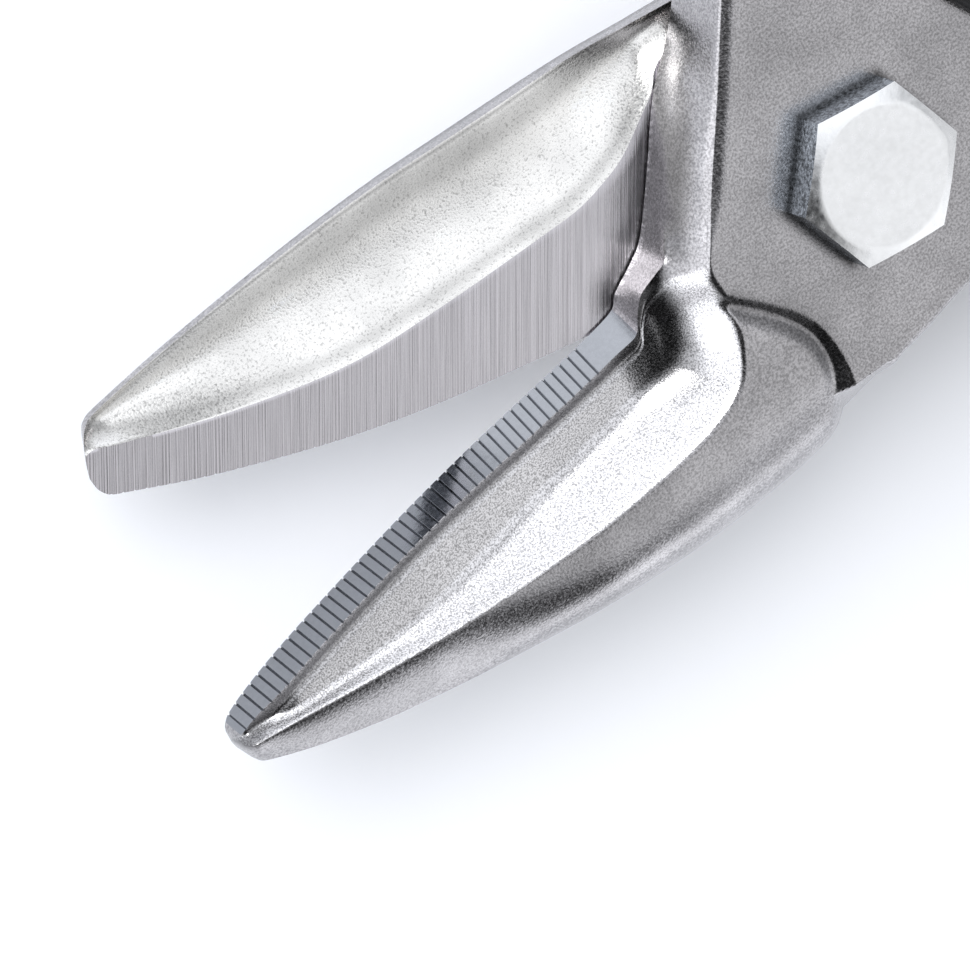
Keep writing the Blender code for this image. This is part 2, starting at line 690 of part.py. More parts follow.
hang("jaw_pivot", (0, 0), [upper_jaw, upper_rivet])
hang("lower_handle_hinge", LOWER_TAIL,
     [lower_handle, handle_rivet, spacer, spring, latch_pin] + lower_grip)
hang("upper_handle_hinge", UPPER_TAIL, [upper_handle, catch] + upper_grip)
hang("latch_swing", LINK_PIVOT + LATCH_PIVOT, [latch_plate])
hang("lower_jaw_frame", (0, 0), [lower_jaw, lower_rivet, washer_top, washer_bottom] + fasteners)
for piece in PARTS.objects:
    if piece.type == "MESH":
        piece.data.shade_smooth()
        piece.data.set_sharp_from_angle(angle=math.radians(35.0))
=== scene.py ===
"""Looks of the aviation snips: forged jaws, bolt, handles, grips, spring and latch."""
import math

import bmesh
import bpy
import numpy as np
from mathutils import Matrix, Vector


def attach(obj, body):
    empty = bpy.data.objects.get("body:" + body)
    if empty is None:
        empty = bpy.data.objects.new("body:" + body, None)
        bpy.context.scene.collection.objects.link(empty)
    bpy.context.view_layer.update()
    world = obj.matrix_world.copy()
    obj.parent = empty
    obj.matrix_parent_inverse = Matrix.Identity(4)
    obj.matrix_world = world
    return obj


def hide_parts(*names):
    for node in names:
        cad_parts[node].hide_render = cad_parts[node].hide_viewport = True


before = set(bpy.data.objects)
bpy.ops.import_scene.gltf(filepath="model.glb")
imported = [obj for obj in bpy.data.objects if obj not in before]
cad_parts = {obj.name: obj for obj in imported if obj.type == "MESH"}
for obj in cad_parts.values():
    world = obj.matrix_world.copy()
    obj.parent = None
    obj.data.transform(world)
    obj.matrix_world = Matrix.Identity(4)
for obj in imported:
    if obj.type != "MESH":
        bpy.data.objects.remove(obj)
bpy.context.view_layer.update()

MM = 0.001
SHARP = math.radians(38)

# Heights in millimetres: rest plane to shear plane, then from the shear plane
SHEAR_Z = 11.5
JAW_IN = 0.1
JAW_OUT = 6.2

# Blades: edge strip and teeth, height of the spine, bevel of the plate
STRIP_H = 2.9
TOOTH_PITCH = 0.76
TOOTH_ROWS = 8
SPINE_Z = 2.1
PLATE_BEVEL = 0.36
PLATE_BEVEL_W = 0.8

# Hex head, whose outline also shapes the painted shade round its foot
HEX_ACROSS = 11.1
HEX_CORNER = math.radians(54.5)

# Camera, from the shear plane's pivot point
CAMERA_PLACE = (-128.94, 147.02, 304.33)
CAMERA_AIM = (-32.37, -6.18, 0.0)
CAMERA_UP = math.radians(62.2)
FOCAL_PIXELS = 5229.0
IMAGE_WIDTH = 970.0


def spline(points, steps=12):
    """Smooth curve through the points, as an array."""
    pts = np.array(points, float)
    ahead = np.vstack([pts[1:], 2 * pts[-1] - pts[-2]])
    behind = np.vstack([2 * pts[0] - pts[1], pts[:-1]])
    slope = (ahead - behind) / 2
    t = np.linspace(0, 1, steps, endpoint=False)[:, None]
    runs = []
    for i in range(len(pts) - 1):
        run = ((2 * t**3 - 3 * t**2 + 1) * pts[i] + (t**3 - 2 * t**2 + t) * slope[i]
               + (3 * t**2 - 2 * t**3) * pts[i + 1] + (t**3 - t**2) * slope[i + 1])
        runs.append(run)
    return np.vstack(runs + [pts[-1:]])


def read(points, x, column=1):
    """Value of a smooth curve through (x, value) points."""
    line = spline(points)
    return np.interp(x, line[:, 0], line[:, column])


def line_distance(spots, line):
    """Distance to a polyline, the side of it, and the place along it from 0 to 1."""
    start, run = line[:-1], np.diff(line, axis=0)
    lengths = np.hypot(run[:, 0], run[:, 1])
    travelled = np.concatenate([[0], np.cumsum(lengths)])
    best = np.full(len(spots), np.inf)
    side, place = np.zeros((2, len(spots)))
    for i in range(len(start)):
        offset = spots - start[i]
        t = np.clip(offset @ run[i] / lengths[i] ** 2, 0, 1)
        gap = offset - t[:, None] * run[i]
        distance = np.hypot(gap[:, 0], gap[:, 1])
        closer = distance < best - 1e-9
        best[closer] = distance[closer]
        cross = run[i, 0] * offset[:, 1] - run[i, 1] * offset[:, 0]
        side[closer] = np.sign(cross[closer])
        place[closer] = (travelled[i] + t[closer] * lengths[i]) / travelled[-1]
    return best, side, place


def soft_max(a, b, k):
    """The larger value, with a rounded join of half width k."""
    h = np.clip(0.5 + 0.5 * (a - b) / k, 0, 1)
    return b + (a - b) * h + k * h * (1 - h)


def soft_min(a, b, k):
    return -soft_max(-a, -b, k)


def above(x):
    return np.clip(x, 0, None)


def smooth(low, high, x):
    """Ramp from 0 at low to 1 at high, eased at both ends."""
    t = np.clip((x - low) / (high - low), 0, 1)
    return t * t * (3 - 2 * t)


def between(low, full, fade, high, x):
    """Ramp up from low to full, and down again from fade to high."""
    return smooth(low, full, x) * (1 - smooth(fade, high, x))


def along(x, start, *steps):
    """Start value with changes along x, each from a low x to a high one."""
    return start + sum(change * smooth(low, high, x) for low, high, change in steps)


def bell(x, middle, width):
    return np.exp(-((x - middle) / width) ** 2)


def hex_turn(angle):
    """Angle from the middle of the nearest flat of the hexagon."""
    return (angle - HEX_CORNER) % (math.pi / 3) - math.pi / 6


# Lower jaw in plan, millimetres from the pivot; the crest's points have a height too
LOWER = {
    "side": 1,
    "edge": [
        (-56.45, -9.35), (-54.2, -8.35), (-50.3, -7.1), (-44.7, -5.7), (-38, -4.2), (-31.8, -3.05),
        (-25.2, -2.05), (-21.3, -1.42), (-18.7, -0.8), (-17.9, 0.1), (-15.8, 1.4), (-14.4, 2.6),
        (-11.9, 6.3), (-9.8, 9.7), (-8.3, 11.7), (-6.7, 13.3), (-4.9, 15.7), (-3.5, 18),
        (-1.5, 19.3), (1.5, 18.2), (5, 15.4), (8, 13.3), (10.98, 10.98), (13.45, 7.76), (15, 4),
        (15.4, 1.9), (15.53, 0)],
    "spine": [
        (-56.45, -11.5), (-56.1, -12), (-55.2, -12.6), (-52, -13.8), (-48.7, -14.75),
        (-45.2, -15.6), (-38, -16.9), (-28.5, -18.05), (-19.5, -18.4), (-12, -17.9), (-8.3, -17.1),
        (-6.8, -16.3), (-5.6, -15.2), (-4.4, -14.2), (-3, -13.6), (-0.5, -13.1), (3.4, -12.2),
        (9, -11.9), (15.53, -12.4)],
    "plate_edge": [
        (-60, -13.3), (-7.2, -13.2), (-3.8, -13), (-0.5, -13.4), (2, -15), (15.6, -20)],
    "ridge": [
        (-56.6, -10.5, 3.4), (-54, -10.6, 3.6), (-46.3, -11.15, 4.3), (-38.7, -11.5, 4.9),
        (-31.8, -11.45, 5.4), (-25.4, -10.9, 5.9), (-18.9, -9.8, 6.3), (-15.4, -8.4, 6.4),
        (-13.9, -6.4, 6.4), (-13.3, -4, 6.3), (-13.2, -2, 6.2), (-13.4, 0.3, 6.2),
        (-12.27, 2.6, 6.2), (-9.98, 6.42, 6.2), (-7.7, 10.21, 6.2), (-4.25, 16.2, 6.2),
        (-3, 18.4, 6.2), (-1.5, 20.2, 6.2), (1, 22, 6.2)],
    "crease": [
        (-15, 0.5), (-13.3, -1.4), (-12.2, -2.4), (-10.7, -3.85), (-8.95, -5.8), (-7.8, -7.7),
        (-7.3, -9.6), (-7.1, -11.7), (-7.2, -13.4), (-7.4, -20)],
    "ground": [(-56.6, -11.6), (-46, -10.5), (-29, -9.2), (-12, -9), (15.6, -9)],
    "rim": [(-57, 1.2), (15.6, 1.2)],
    "tooth_depth": 0.15,
    "undercut": 0,
    "spine_slope": 0,
    "tip": -56.45,
    "tooth_end": -21.6,
}

# Upper jaw, with the same names
UPPER = {
    "side": -1,
    "edge": [
        (-56.1, 10.4), (-56, 9.6), (-55.5, 9.05), (-53.9, 8.27), (-48.9, 6.05), (-42.4, 3.63),
        (-37, 1.93), (-30.9, 0.45), (-24.5, -0.8), (-18, -2.2), (-14, -5), (-11.5, -9), (-7, -13),
        (0, -15.2), (6, -14.3), (10.98, -10.98), (13.45, -7.76), (15, -4), (15.53, 0)],
    "spine": [
        (-56.1, 10.9), (-55.9, 11.8), (-55.3, 12.9), (-54.4, 13.6), (-52, 14.1), (-45.8, 14.95),
        (-36.2, 15.85), (-29.4, 16.2), (-24.5, 16.2), (-14.3, 16.05), (-7.8, 15.6), (-2, 15.2),
        (5, 14.4), (15.53, 13.3)],
    "ridge": [
        (-56.3, 10.9, 2.6), (-54, 10.9, 3.1), (-46, 10.6, 4.1), (-38, 10, 4.9), (-30, 9.2, 5.5),
        (-22, 8, 6), (-16.5, 6.4, 6.3), (-14.8, 4.6, 6.3), (-14.2, 2.2, 6.2), (-14, 0, 6.2),
        (-13.4, -4, 6.2), (-11, -8.8, 6.2), (-6.8, -12.8, 6.2), (0, -15, 6.2), (6, -15.2, 6.2)],
    "plate_edge": [(-60, -14.9), (-7, -14.9), (15.6, -20)],
    "crease": [
        (-15.5, -0.5), (-13.6, 1.2), (-11.6, 2.8), (-9.6, 4.8), (-8.2, 7), (-7.4, 9.6), (-7.1, 12),
        (-7, 20)],
    "ground": [
        (-56.2, 11.9), (-55, 12.3), (-52.8, 11.47), (-45.6, 9), (-37, 6.95), (-29, 6.57),
        (-20.7, 6.63), (-17.5, 6.75), (-15.1, 7.3), (-12.8, 8.2), (-9.4, 10.5), (-5, 13),
        (15.6, 13)],
    "rim": [
        (-56.2, 1.2), (-50, 1.3), (-40, 1.1), (-30, 0.8), (-21, 0.45), (-16, 0.6), (-12, 0.75),
        (-8, 0.6), (-4, 0.3), (0, 0.1), (15.6, 0)],
    "tooth_depth": 0.07,
    "undercut": 0.5,
    "spine_slope": 1.8,
    "tip": -56.1,
    "tooth_end": -19,
}

# Rows along a jaw: fine ones over the throat, where the plate starts
PLATE_FROM = -15.0
ROOT_TO = -16.5
THROAT_TO = -12.0
JAW_STOP = 15.5
ROW_STEP = 0.15
FINE_STEP = 0.07


def row_places(jaw):
    """Row places along the jaw: by the tooth, then even steps."""
    step = TOOTH_PITCH / TOOTH_ROWS
    teeth = np.arange(jaw["tip"], jaw["tooth_end"], step)
    root = np.arange(teeth[-1] + step, ROOT_TO, ROW_STEP)
    throat = np.arange(root[-1] + FINE_STEP, THROAT_TO, FINE_STEP)
    plate = np.arange(throat[-1] + ROW_STEP, JAW_STOP, ROW_STEP)
    return np.concatenate([teeth, root, throat, plate, [JAW_STOP]])


# Where forms of the outer face start and end
TWIST_X = (-42, -28)
HIP_X = (-20, -16)
HIP_Y = (-11, -7.5)
STRIP_END_X = (-19, -17)
PLATE_X = (-15.5, -13)
PLATE_Y = (-1, 2)
BEVEL_X = (-15, -13.6)
BEVEL_Y = (-4, 6)
CORNER_X = (-5, -3.5)
FLUTE_TO_X = -13
FLUTE_TO_Y = 0.5

# Floor of the flute, and the lip's fall and step
FLOOR_SHARE = 0.86
FLOOR_SLIM = (0.74, (0, 5, 0.26))
FLOOR_LIFT = (0.3, (*TWIST_X, -1.1), (-21, -16, 0.8), (-18, -14, -0.35))
FLOOR_SLOPE = 0.03
LIP_SLOPE = 0.45
LIP_W = 0.95
LIP_SOFT = 0.25
LIP_STEP = 0.12
LIP_STEP_AT = (1, 1.5)

# Wall from the flute to the crest, along the blade and at the hip
WALL_SLOPE = (1.9, (-50, -38, -0.5))
WALL_HIP = -0.1
FLUTE_SOFT = (0.45, (-48, -34, 1.0))
FLUTE_SOFT_HIP = 0.2
CREST_SOFT = (0.15, (-40, -20, 0.3))

# Front wall of the plate
FRONT_SHARE = 0.52
FRONT_POWER = 0.45
FRONT_MIN = 0.05
FRONT_BEYOND = 3.0

# Back of the blade: section at the tip and at the root, fall before the crease
DOME_TIP = 1.2
DOME_ROOT = 2.2
DOME_ROUND = 0.62
DOME_DROP = 0.1
DOME_MIN_W = 0.3
CREASE_REACH = 2.4
CREASE_CURVE = 0.22

# Plate: its foot, and the bevel's lift off the blade
PLATE_SLOPE = 0.5
PLATE_GAP = 0.1
PLATE_CORNER_SLOPE = 1.4
PLATE_SOFT = 0.35
BEVEL_LIFT = 9
BEVEL_EASE = 0.6
BEVEL_SOFT = 0.12


def crest_line(jaw, spots):
    """Height of the crest beside each spot, and the way from it to the edge."""
    line = spline(jaw["ridge"])
    gap, side, place = line_distance(spots, line[:, :2])
    steps = np.hypot(*np.diff(line[:, :2], axis=0).T)
    places = np.concatenate([[0], np.cumsum(steps)]) / steps.sum()
    return np.interp(place, places, line[:, 2]), gap * side * jaw["side"]


def flute_height(x, tip, top, inward, past_lip, hip):
    """Lip behind the strip, floor of the flute, and the wall up to the crest."""
    fall = above(past_lip)
    floor = np.minimum(STRIP_H, FLOOR_SHARE * top) * along(x - tip, *FLOOR_SLIM)
    floor += along(x, *FLOOR_LIFT)
    floor -= LIP_SLOPE * soft_min(fall, np.full_like(fall, LIP_W), LIP_SOFT)
    floor += LIP_STEP * smooth(*LIP_STEP_AT, fall)
    floor += FLOOR_SLOPE * above(fall - LIP_STEP_AT[1])
    wall = top - inward * (along(x, *WALL_SLOPE) + WALL_HIP * hip)
    return soft_max(floor, wall, along(x, *FLUTE_SOFT) + FLUTE_SOFT_HIP * hip)


def front_height(across, inward):
    """Wall up to the plate's bevel, and the share that it has climbed."""
    from_edge = FRONT_SHARE * across
    climb = from_edge / np.maximum(from_edge + above(inward), FRONT_MIN)
    front = JAW_IN + (JAW_OUT - PLATE_BEVEL * PLATE_BEVEL_W - JAW_IN) * climb ** FRONT_POWER
    return front + FRONT_BEYOND * above(-inward), climb


def dome_height(jaw, spots, across, width):
    """Back of the blade, from the crest to the spine."""
    x = spots[:, 0]
    ridge = np.array(jaw["ridge"])
    blade = ridge[ridge[:, 0] < PLATE_FROM]
    crown = read(blade, x, 2)
    edge_y = spots[:, 1] + jaw["side"] * across
    crest_in = np.abs(read(blade, x) - edge_y)
    t = np.clip((across - crest_in) / np.maximum(width - crest_in, DOME_MIN_W), 0, 1)
    rounder = smooth(*TWIST_X, x)
    bulge = (1 - t ** DOME_TIP) * (1 - rounder) + (1 - t ** DOME_ROOT) ** DOME_ROUND * rounder
    return SPINE_Z + (crown - SPINE_Z - DOME_DROP) * bulge


# Painted shade on the outer face: strength from 0 to 1, and where it lies
# Painted shade along the lip's step just past the strip
LIP_PAINTED_SHADE = 0.65
LIP_PAINTED_SHADE_AT = (0.6, 0.65)
# Painted shade in the throat pocket
THROAT_PAINTED_SHADE = 0.6
THROAT_PAINTED_SHADE_X = (-20, -17.5)
THROAT_PAINTED_SHADE_Y = (-9.5, -7, 1, 3)
THROAT_PAINTED_SHADE_IN = (1, 2.6, 3.8, 6.5)
# Painted shade along the crease at the plate's foot
CREASE_PAINTED_SHADE = 0.4
CREASE_PAINTED_SHADE_X = (-14, -12.5)
CREASE_PAINTED_SHADE_Y = (-13.5, -9.5, -2, -1)
CREASE_PAINTED_SHADE_AT = (-0.8, 1.0)
# Painted shade on the lower part of the plate's front wall
WALL_PAINTED_SHADE = 0.6
WALL_PAINTED_SHADE_CLIMB = (0.3, 0.75)
# Painted shade in a ring round the foot of the hex head
BOLT_PAINTED_SHADE = 0.85
BOLT_PAINTED_SHADE_W = 0.5
# Painted shade in the tooth grooves and on the strip's heel in the throat
GROOVE_PAINTED_SHADE = 0.15
HEEL_PAINTED_SHADE = 0.55
HEEL_X = (-18.8, -17.8, -11, -7)


def face_painted_shade(spots, y, inward, past_lip, past_crease, low_wall):
    """Painted shade by the lip, low wall, throat, crease and bolt."""
    x = spots[:, 0]
    lip = bell(past_lip, *LIP_PAINTED_SHADE_AT) * (1 - smooth(*STRIP_END_X, x))
    throat = smooth(*THROAT_PAINTED_SHADE_X, x) * between(*THROAT_PAINTED_SHADE_Y, y)
    throat *= between(*THROAT_PAINTED_SHADE_IN, inward)
    crease = smooth(*CREASE_PAINTED_SHADE_X, x) * between(*CREASE_PAINTED_SHADE_Y, y)
    crease *= bell(past_crease, *CREASE_PAINTED_SHADE_AT)
    turn = hex_turn(np.arctan2(spots[:, 1], x))
    from_hex = np.hypot(x, y) * np.cos(turn) - HEX_ACROSS / 2
    bolt = bell(above(from_hex), 0.0, BOLT_PAINTED_SHADE_W)
    painted_shades = ((LIP_PAINTED_SHADE, lip), (WALL_PAINTED_SHADE, low_wall), (THROAT_PAINTED_SHADE, throat), (CREASE_PAINTED_SHADE, crease),
            (BOLT_PAINTED_SHADE, bolt))
    return 1 - math.prod(1 - strength * where for strength, where in painted_shades)


def outer_height(jaw, spots, across, width, strip_in):
    """Height of the outer face, its painted shade, and where the flute is."""
    x, y = spots[:, 0], spots[:, 1] * jaw["side"]
    top, inward = crest_line(jaw, spots)
    past_lip = across - strip_in
    in_plate = smooth(*PLATE_X, x) * smooth(*PLATE_Y, y)
    hip = smooth(*HIP_X, x) * smooth(*HIP_Y, y)
    front, climb = front_height(across, inward)
    left = flute_height(x, jaw["tip"], top, inward, past_lip, hip)
    left = left * (1 - in_plate) + front * in_plate
    over, over_side, _ = line_distance(spots, spline(jaw["crease"]))
    past_crease = over * over_side * jaw["side"]
    dome = dome_height(jaw, spots, across, width)
    dome -= above(past_crease + CREASE_REACH) ** 2 * CREASE_CURVE
    plate = JAW_OUT - PLATE_SLOPE * above(-past_crease - PLATE_GAP)
    below = above(read(jaw["plate_edge"], x) - y)
    plate -= PLATE_CORNER_SLOPE * below * (1 - smooth(*CORNER_X, x))
    right = soft_max(dome, plate, PLATE_SOFT)
    bevel = JAW_OUT - PLATE_BEVEL * (inward + PLATE_BEVEL_W)
    bevel += BEVEL_LIFT * (1 - smooth(*BEVEL_X, x)) + BEVEL_EASE * (1 - smooth(*BEVEL_Y, y))
    right = soft_min(right, bevel, BEVEL_SOFT)
    height = soft_min(left, right, along(x, *CREST_SOFT))
    # Lower wall, which takes painted shade
    low_wall = in_plate * (1 - smooth(*WALL_PAINTED_SHADE_CLIMB, climb)) * (1 - smooth(*HEEL_X[2:], x))
    painted_shade = face_painted_shade(spots, y, inward, past_lip, past_crease, low_wall)
    flute = (inward > 0.05) & (x < FLUTE_TO_X) & (y < FLUTE_TO_Y) & (past_lip > -0.01)
    return height, painted_shade, flute


# Columns across the outer face: strip, lip, flute to just past the crest, back
STRIP_COLUMNS = 5
LIP_COLUMNS = 12
FLUTE_COLUMNS = 60
BACK_COLUMNS = 80
BACK_EASE = 1.6
LIP_REACH = 1.6
CREST_REACH = 1.8
NARROWEST = 0.4
EVEN_ROWS = 25

# Width of the strip along the blade, its teeth, and the rounding of plate and tip
STRIP_W = (0.62, (*TWIST_X, 0.88))
STRIP_SLIM = (0.75, (0, 5, 0.25))
STRIP_LEFT = (1, (*STRIP_END_X, -0.78))
TEETH_START = (0.2, 0.4)
TEETH_FADE = 0.5
GROOVE_TAPER = 0.15
PLATE_ROUND = 0.8
PLATE_ROUND_X = (-7, -3.5)
TIP_ROUND = 0.8
TIP_SHARE = 0.4
UNDERCUT_L = 2.5
MIN_HEIGHT = 0.05


def shares(count):
    """Even shares from just above 0 up to 1."""
    return np.linspace(0, 1, count + 1)[1:]


def strip_width(jaw, xs, width):
    """How far the serrated strip reaches in from the edge."""
    relief = np.minimum(along(xs, *STRIP_W), NARROWEST * width)
    return relief * along(xs - jaw["tip"], *STRIP_SLIM) * along(xs, *STRIP_LEFT)


def column_places(jaw, xs, edge, width, relief):
    """Distance of each column from the edge, for each row."""
    lip_end = np.minimum(relief + LIP_REACH, NARROWEST * width)
    ridge = spline(jaw["ridge"])
    crest_y = np.interp(xs, np.maximum.accumulate(ridge[:, 0]), ridge[:, 1])
    padded = np.pad(np.abs(crest_y - edge), EVEN_ROWS // 2, "edge")
    crest_in = np.convolve(padded, np.ones(EVEN_ROWS) / EVEN_ROWS, "valid")
    past_crest = np.clip(crest_in + CREST_REACH, lip_end + 0.2, lip_end + 0.75 * (width - lip_end))
    back = 1 - (1 - shares(BACK_COLUMNS)) ** BACK_EASE
    columns = [relief * s for s in [0.0, *shares(STRIP_COLUMNS)]]
    columns += [relief + (lip_end - relief) * s for s in shares(LIP_COLUMNS)]
    columns += [lip_end + (past_crest - lip_end) * s for s in shares(FLUTE_COLUMNS)]
    columns += [past_crest + (width - past_crest) * s for s in back]
    return np.array(columns).T


def tooth_grooves(jaw, xs):
    """1 at the bottom of a groove and 0 on the lands of the teeth."""
    share = (xs - jaw["tip"]) / TOOTH_PITCH % 1.0
    from_groove = np.minimum(share, 1 - share) * TOOTH_ROWS
    toothed = 1 - smooth(jaw["tooth_end"] - TEETH_FADE, jaw["tooth_end"], xs)
    toothed *= smooth(*TEETH_START, xs - jaw["tip"])
    return np.clip(1 - from_groove, 0, 1) * toothed


def outer_grid(jaw):
    """Grid of the outer face and its painted shade, from the edge to the spine."""
    xs = row_places(jaw)
    edge = read(jaw["edge"], xs)
    spine = read(jaw["spine"], xs)
    to_spine = -jaw["side"]
    width = np.abs(spine - edge)
    relief = strip_width(jaw, xs, width)
    across = column_places(jaw, xs, edge, width, relief)
    spots = np.stack([np.broadcast_to(xs[:, None], across.shape),
                      edge[:, None] + to_spine * across], axis=2)
    wide = np.repeat(width, across.shape[1])
    strip_in = np.repeat(relief, across.shape[1])
    height, painted_shade, flute = outer_height(jaw, spots.reshape(-1, 2), across.ravel(), wide, strip_in)
    height = height.reshape(across.shape)
    painted_shade = painted_shade.reshape(across.shape)
    strip = [0.0, *shares(STRIP_COLUMNS)]
    lip_height = height[:, STRIP_COLUMNS]
    for j, s in enumerate(strip[:-1]):
        height[:, j] = JAW_IN + (lip_height - JAW_IN) * s
    border = width[:, None] - across
    overhang = above(PLATE_ROUND - border)
    rounding = PLATE_ROUND - np.sqrt(above(PLATE_ROUND ** 2 - overhang ** 2))
    height -= rounding * smooth(*PLATE_ROUND_X, xs)[:, None]
    if jaw["spine_slope"]:
        height = np.minimum(height, SPINE_Z + jaw["spine_slope"] * border)
    groove = tooth_grooves(jaw, xs)
    heel = between(*HEEL_X, xs)
    # Teeth cut into the strip, with painted shade in their grooves and on the heel
    for j, s in enumerate(strip):
        spots[:, j, 1] += to_spine * jaw["tooth_depth"] * groove * (1.0 - GROOVE_TAPER * s)
        painted_shade[:, j] = GROOVE_PAINTED_SHADE * groove + HEEL_PAINTED_SHADE * heel
    height = np.maximum(height, JAW_IN + MIN_HEIGHT)
    height[:, 0] = JAW_IN
    nose = np.clip(1 - (xs - jaw["tip"]) / TIP_ROUND, 0, 1)[:, None]
    full = TIP_SHARE + (1 - TIP_SHARE) * np.sqrt(1 - nose ** 2)
    middle = (spots[:, :1, 1] + spots[:, -1:, 1]) / 2
    spots[:, :, 1] = middle + (spots[:, :, 1] - middle) * full
    height = JAW_IN + (height - JAW_IN) * full
    near_tip = np.clip(1 - (xs - jaw["tip"]) / UNDERCUT_L, 0, 1)[:, None]
    spots[:, :, 0] += jaw["undercut"] * near_tip * (height - JAW_IN)
    grid = np.dstack([spots, height * jaw["side"]])
    return grid, painted_shade.ravel(), flute.reshape(across.shape)


# Inner face: ground flat by the edge, then a hollow up to the rim at the spine
GROUND_COLUMNS = 15
HOLLOW_COLUMNS = 39
GROUND_MARGIN = 0.02
HOLLOW_MORE = 0.35
HOLLOW_FADE = (0.2, 2.5)
HOLLOW_DEEP_AT = 0.7
HOLLOW_POWER = 1.2
GROUND_STEP = 0.04
GROUND_STEP_W = 0.25
# Painted shade in the hollow: bands near the rim and by the ground's edge, and a dark line at the
# rim
FAR_PAINTED_SHADE = 0.35
FAR_PAINTED_SHADE_AT = (1.66, 1.82, 1.93, 1.98)
NEAR_PAINTED_SHADE = 0.25
NEAR_PAINTED_SHADE_AT = (0.9, 0.5)
RIM_PAINTED_SHADE = 0.5


def inner_grid(jaw, edge_line, spine_line):
    """Grid of the inner face and its painted shade: places to 1 are ground, to 2 hollow."""
    xs = edge_line[:, 0]
    start, end = edge_line[:, 1], spine_line[:, 1]
    low = np.minimum(start, end)
    high = np.maximum(start, end)
    ground = np.clip(read(jaw["ground"], xs), low + GROUND_MARGIN, high - GROUND_MARGIN)
    places = np.concatenate([[0.0], shares(GROUND_COLUMNS), shares(HOLLOW_COLUMNS) + 1])
    grid = np.zeros((len(xs), len(places), 3))
    painted_shade = np.zeros((len(xs), len(places)))
    grid[:, :, 0] = xs[:, None]
    rim = read(jaw["rim"], xs)
    wide = np.abs(end - ground)
    deepest = (rim + HOLLOW_MORE) * smooth(*HOLLOW_FADE, wide)
    for j, s in enumerate(places):
        if s <= 1:
            grid[:, j, 1] = start + (ground - start) * s
            depth = np.zeros(len(xs))
        else:
            grid[:, j, 1] = ground + (end - ground) * (s - 1)
            far = wide * (s - 1)
            rise = np.clip((s - 1 - HOLLOW_DEEP_AT) / (1 - HOLLOW_DEEP_AT), 0, 1) ** 2
            depth = GROUND_STEP * smooth(0, GROUND_STEP_W, far)
            down = np.sin(np.pi / 2 * min((s - 1) / HOLLOW_DEEP_AT, 1.0))
            depth += deepest * down ** HOLLOW_POWER
            depth -= (deepest - np.minimum(rim, deepest)) * rise
            # Painted shade bands in the hollow
            painted_shade[:, j] = FAR_PAINTED_SHADE * between(*FAR_PAINTED_SHADE_AT, s)
            painted_shade[:, j] += NEAR_PAINTED_SHADE * bell(far, *NEAR_PAINTED_SHADE_AT)
        grid[:, j, 2] = jaw["side"] * (JAW_IN + depth)
    # Painted dark line along the rim
    painted_shade[:, -2] = RIM_PAINTED_SHADE
    return grid, painted_shade.ravel()


def shade(mesh):
    mesh.shade_smooth()
    mesh.set_sharp_from_angle(angle=SHARP)


def weld(mesh, gap):
    """Joined border vertices, with the normals outwards."""
    bm = bmesh.new()
    bm.from_mesh(mesh)
    bmesh.ops.remove_doubles(bm, verts=bm.verts, dist=gap)
    bmesh.ops.recalc_face_normals(bm, faces=bm.faces)
    bm.to_mesh(mesh)
    bm.free()


def linked(name, data):
    made = bpy.data.objects.new(name, data)
    bpy.context.scene.collection.objects.link(made)
    return made


def mesh_object(name, verts, faces, materials, zones=None, painted_shade=None):
    """Object from points over the shear plane."""
    mesh = bpy.data.meshes.new(name)
    placed = np.array(verts, float)
    placed[:, 2] += SHEAR_Z
    mesh.from_pydata((placed * MM).tolist(), [], faces)
    for mat in materials:
        mesh.materials.append(mat)
    if zones is not None:
        mesh.polygons.foreach_set("material_index", zones)
    # Painted shade stored on the points, from 0 to 1
    if painted_shade is not None:
        mesh.attributes.new("painted_shade", "FLOAT", "POINT").data.foreach_set("value", painted_shade)
    mesh.validate()
    weld(mesh, 2e-6)
    shade(mesh)
    return linked(name, mesh)


def grid_faces(rows, columns, base=0, rings=False):
    """Faces of a grid, with its rows closed to rings if asked."""
    faces = []
    for i in range(rows - 1):
        start = base + i * columns
        for j in range(columns if rings else columns - 1):
            a, b = start + j, start + (j + 1) % columns
            faces.append((a, b, b + columns, a + columns))
    return faces


# Material zones of a jaw, and the rows without the strip's steel
SATIN, GROUND, STRIP, HOLLOW, FLUTE = 0, 1, 2, 3, 4
TIP_ROWS = 3
STRIP_STOP = -18.6


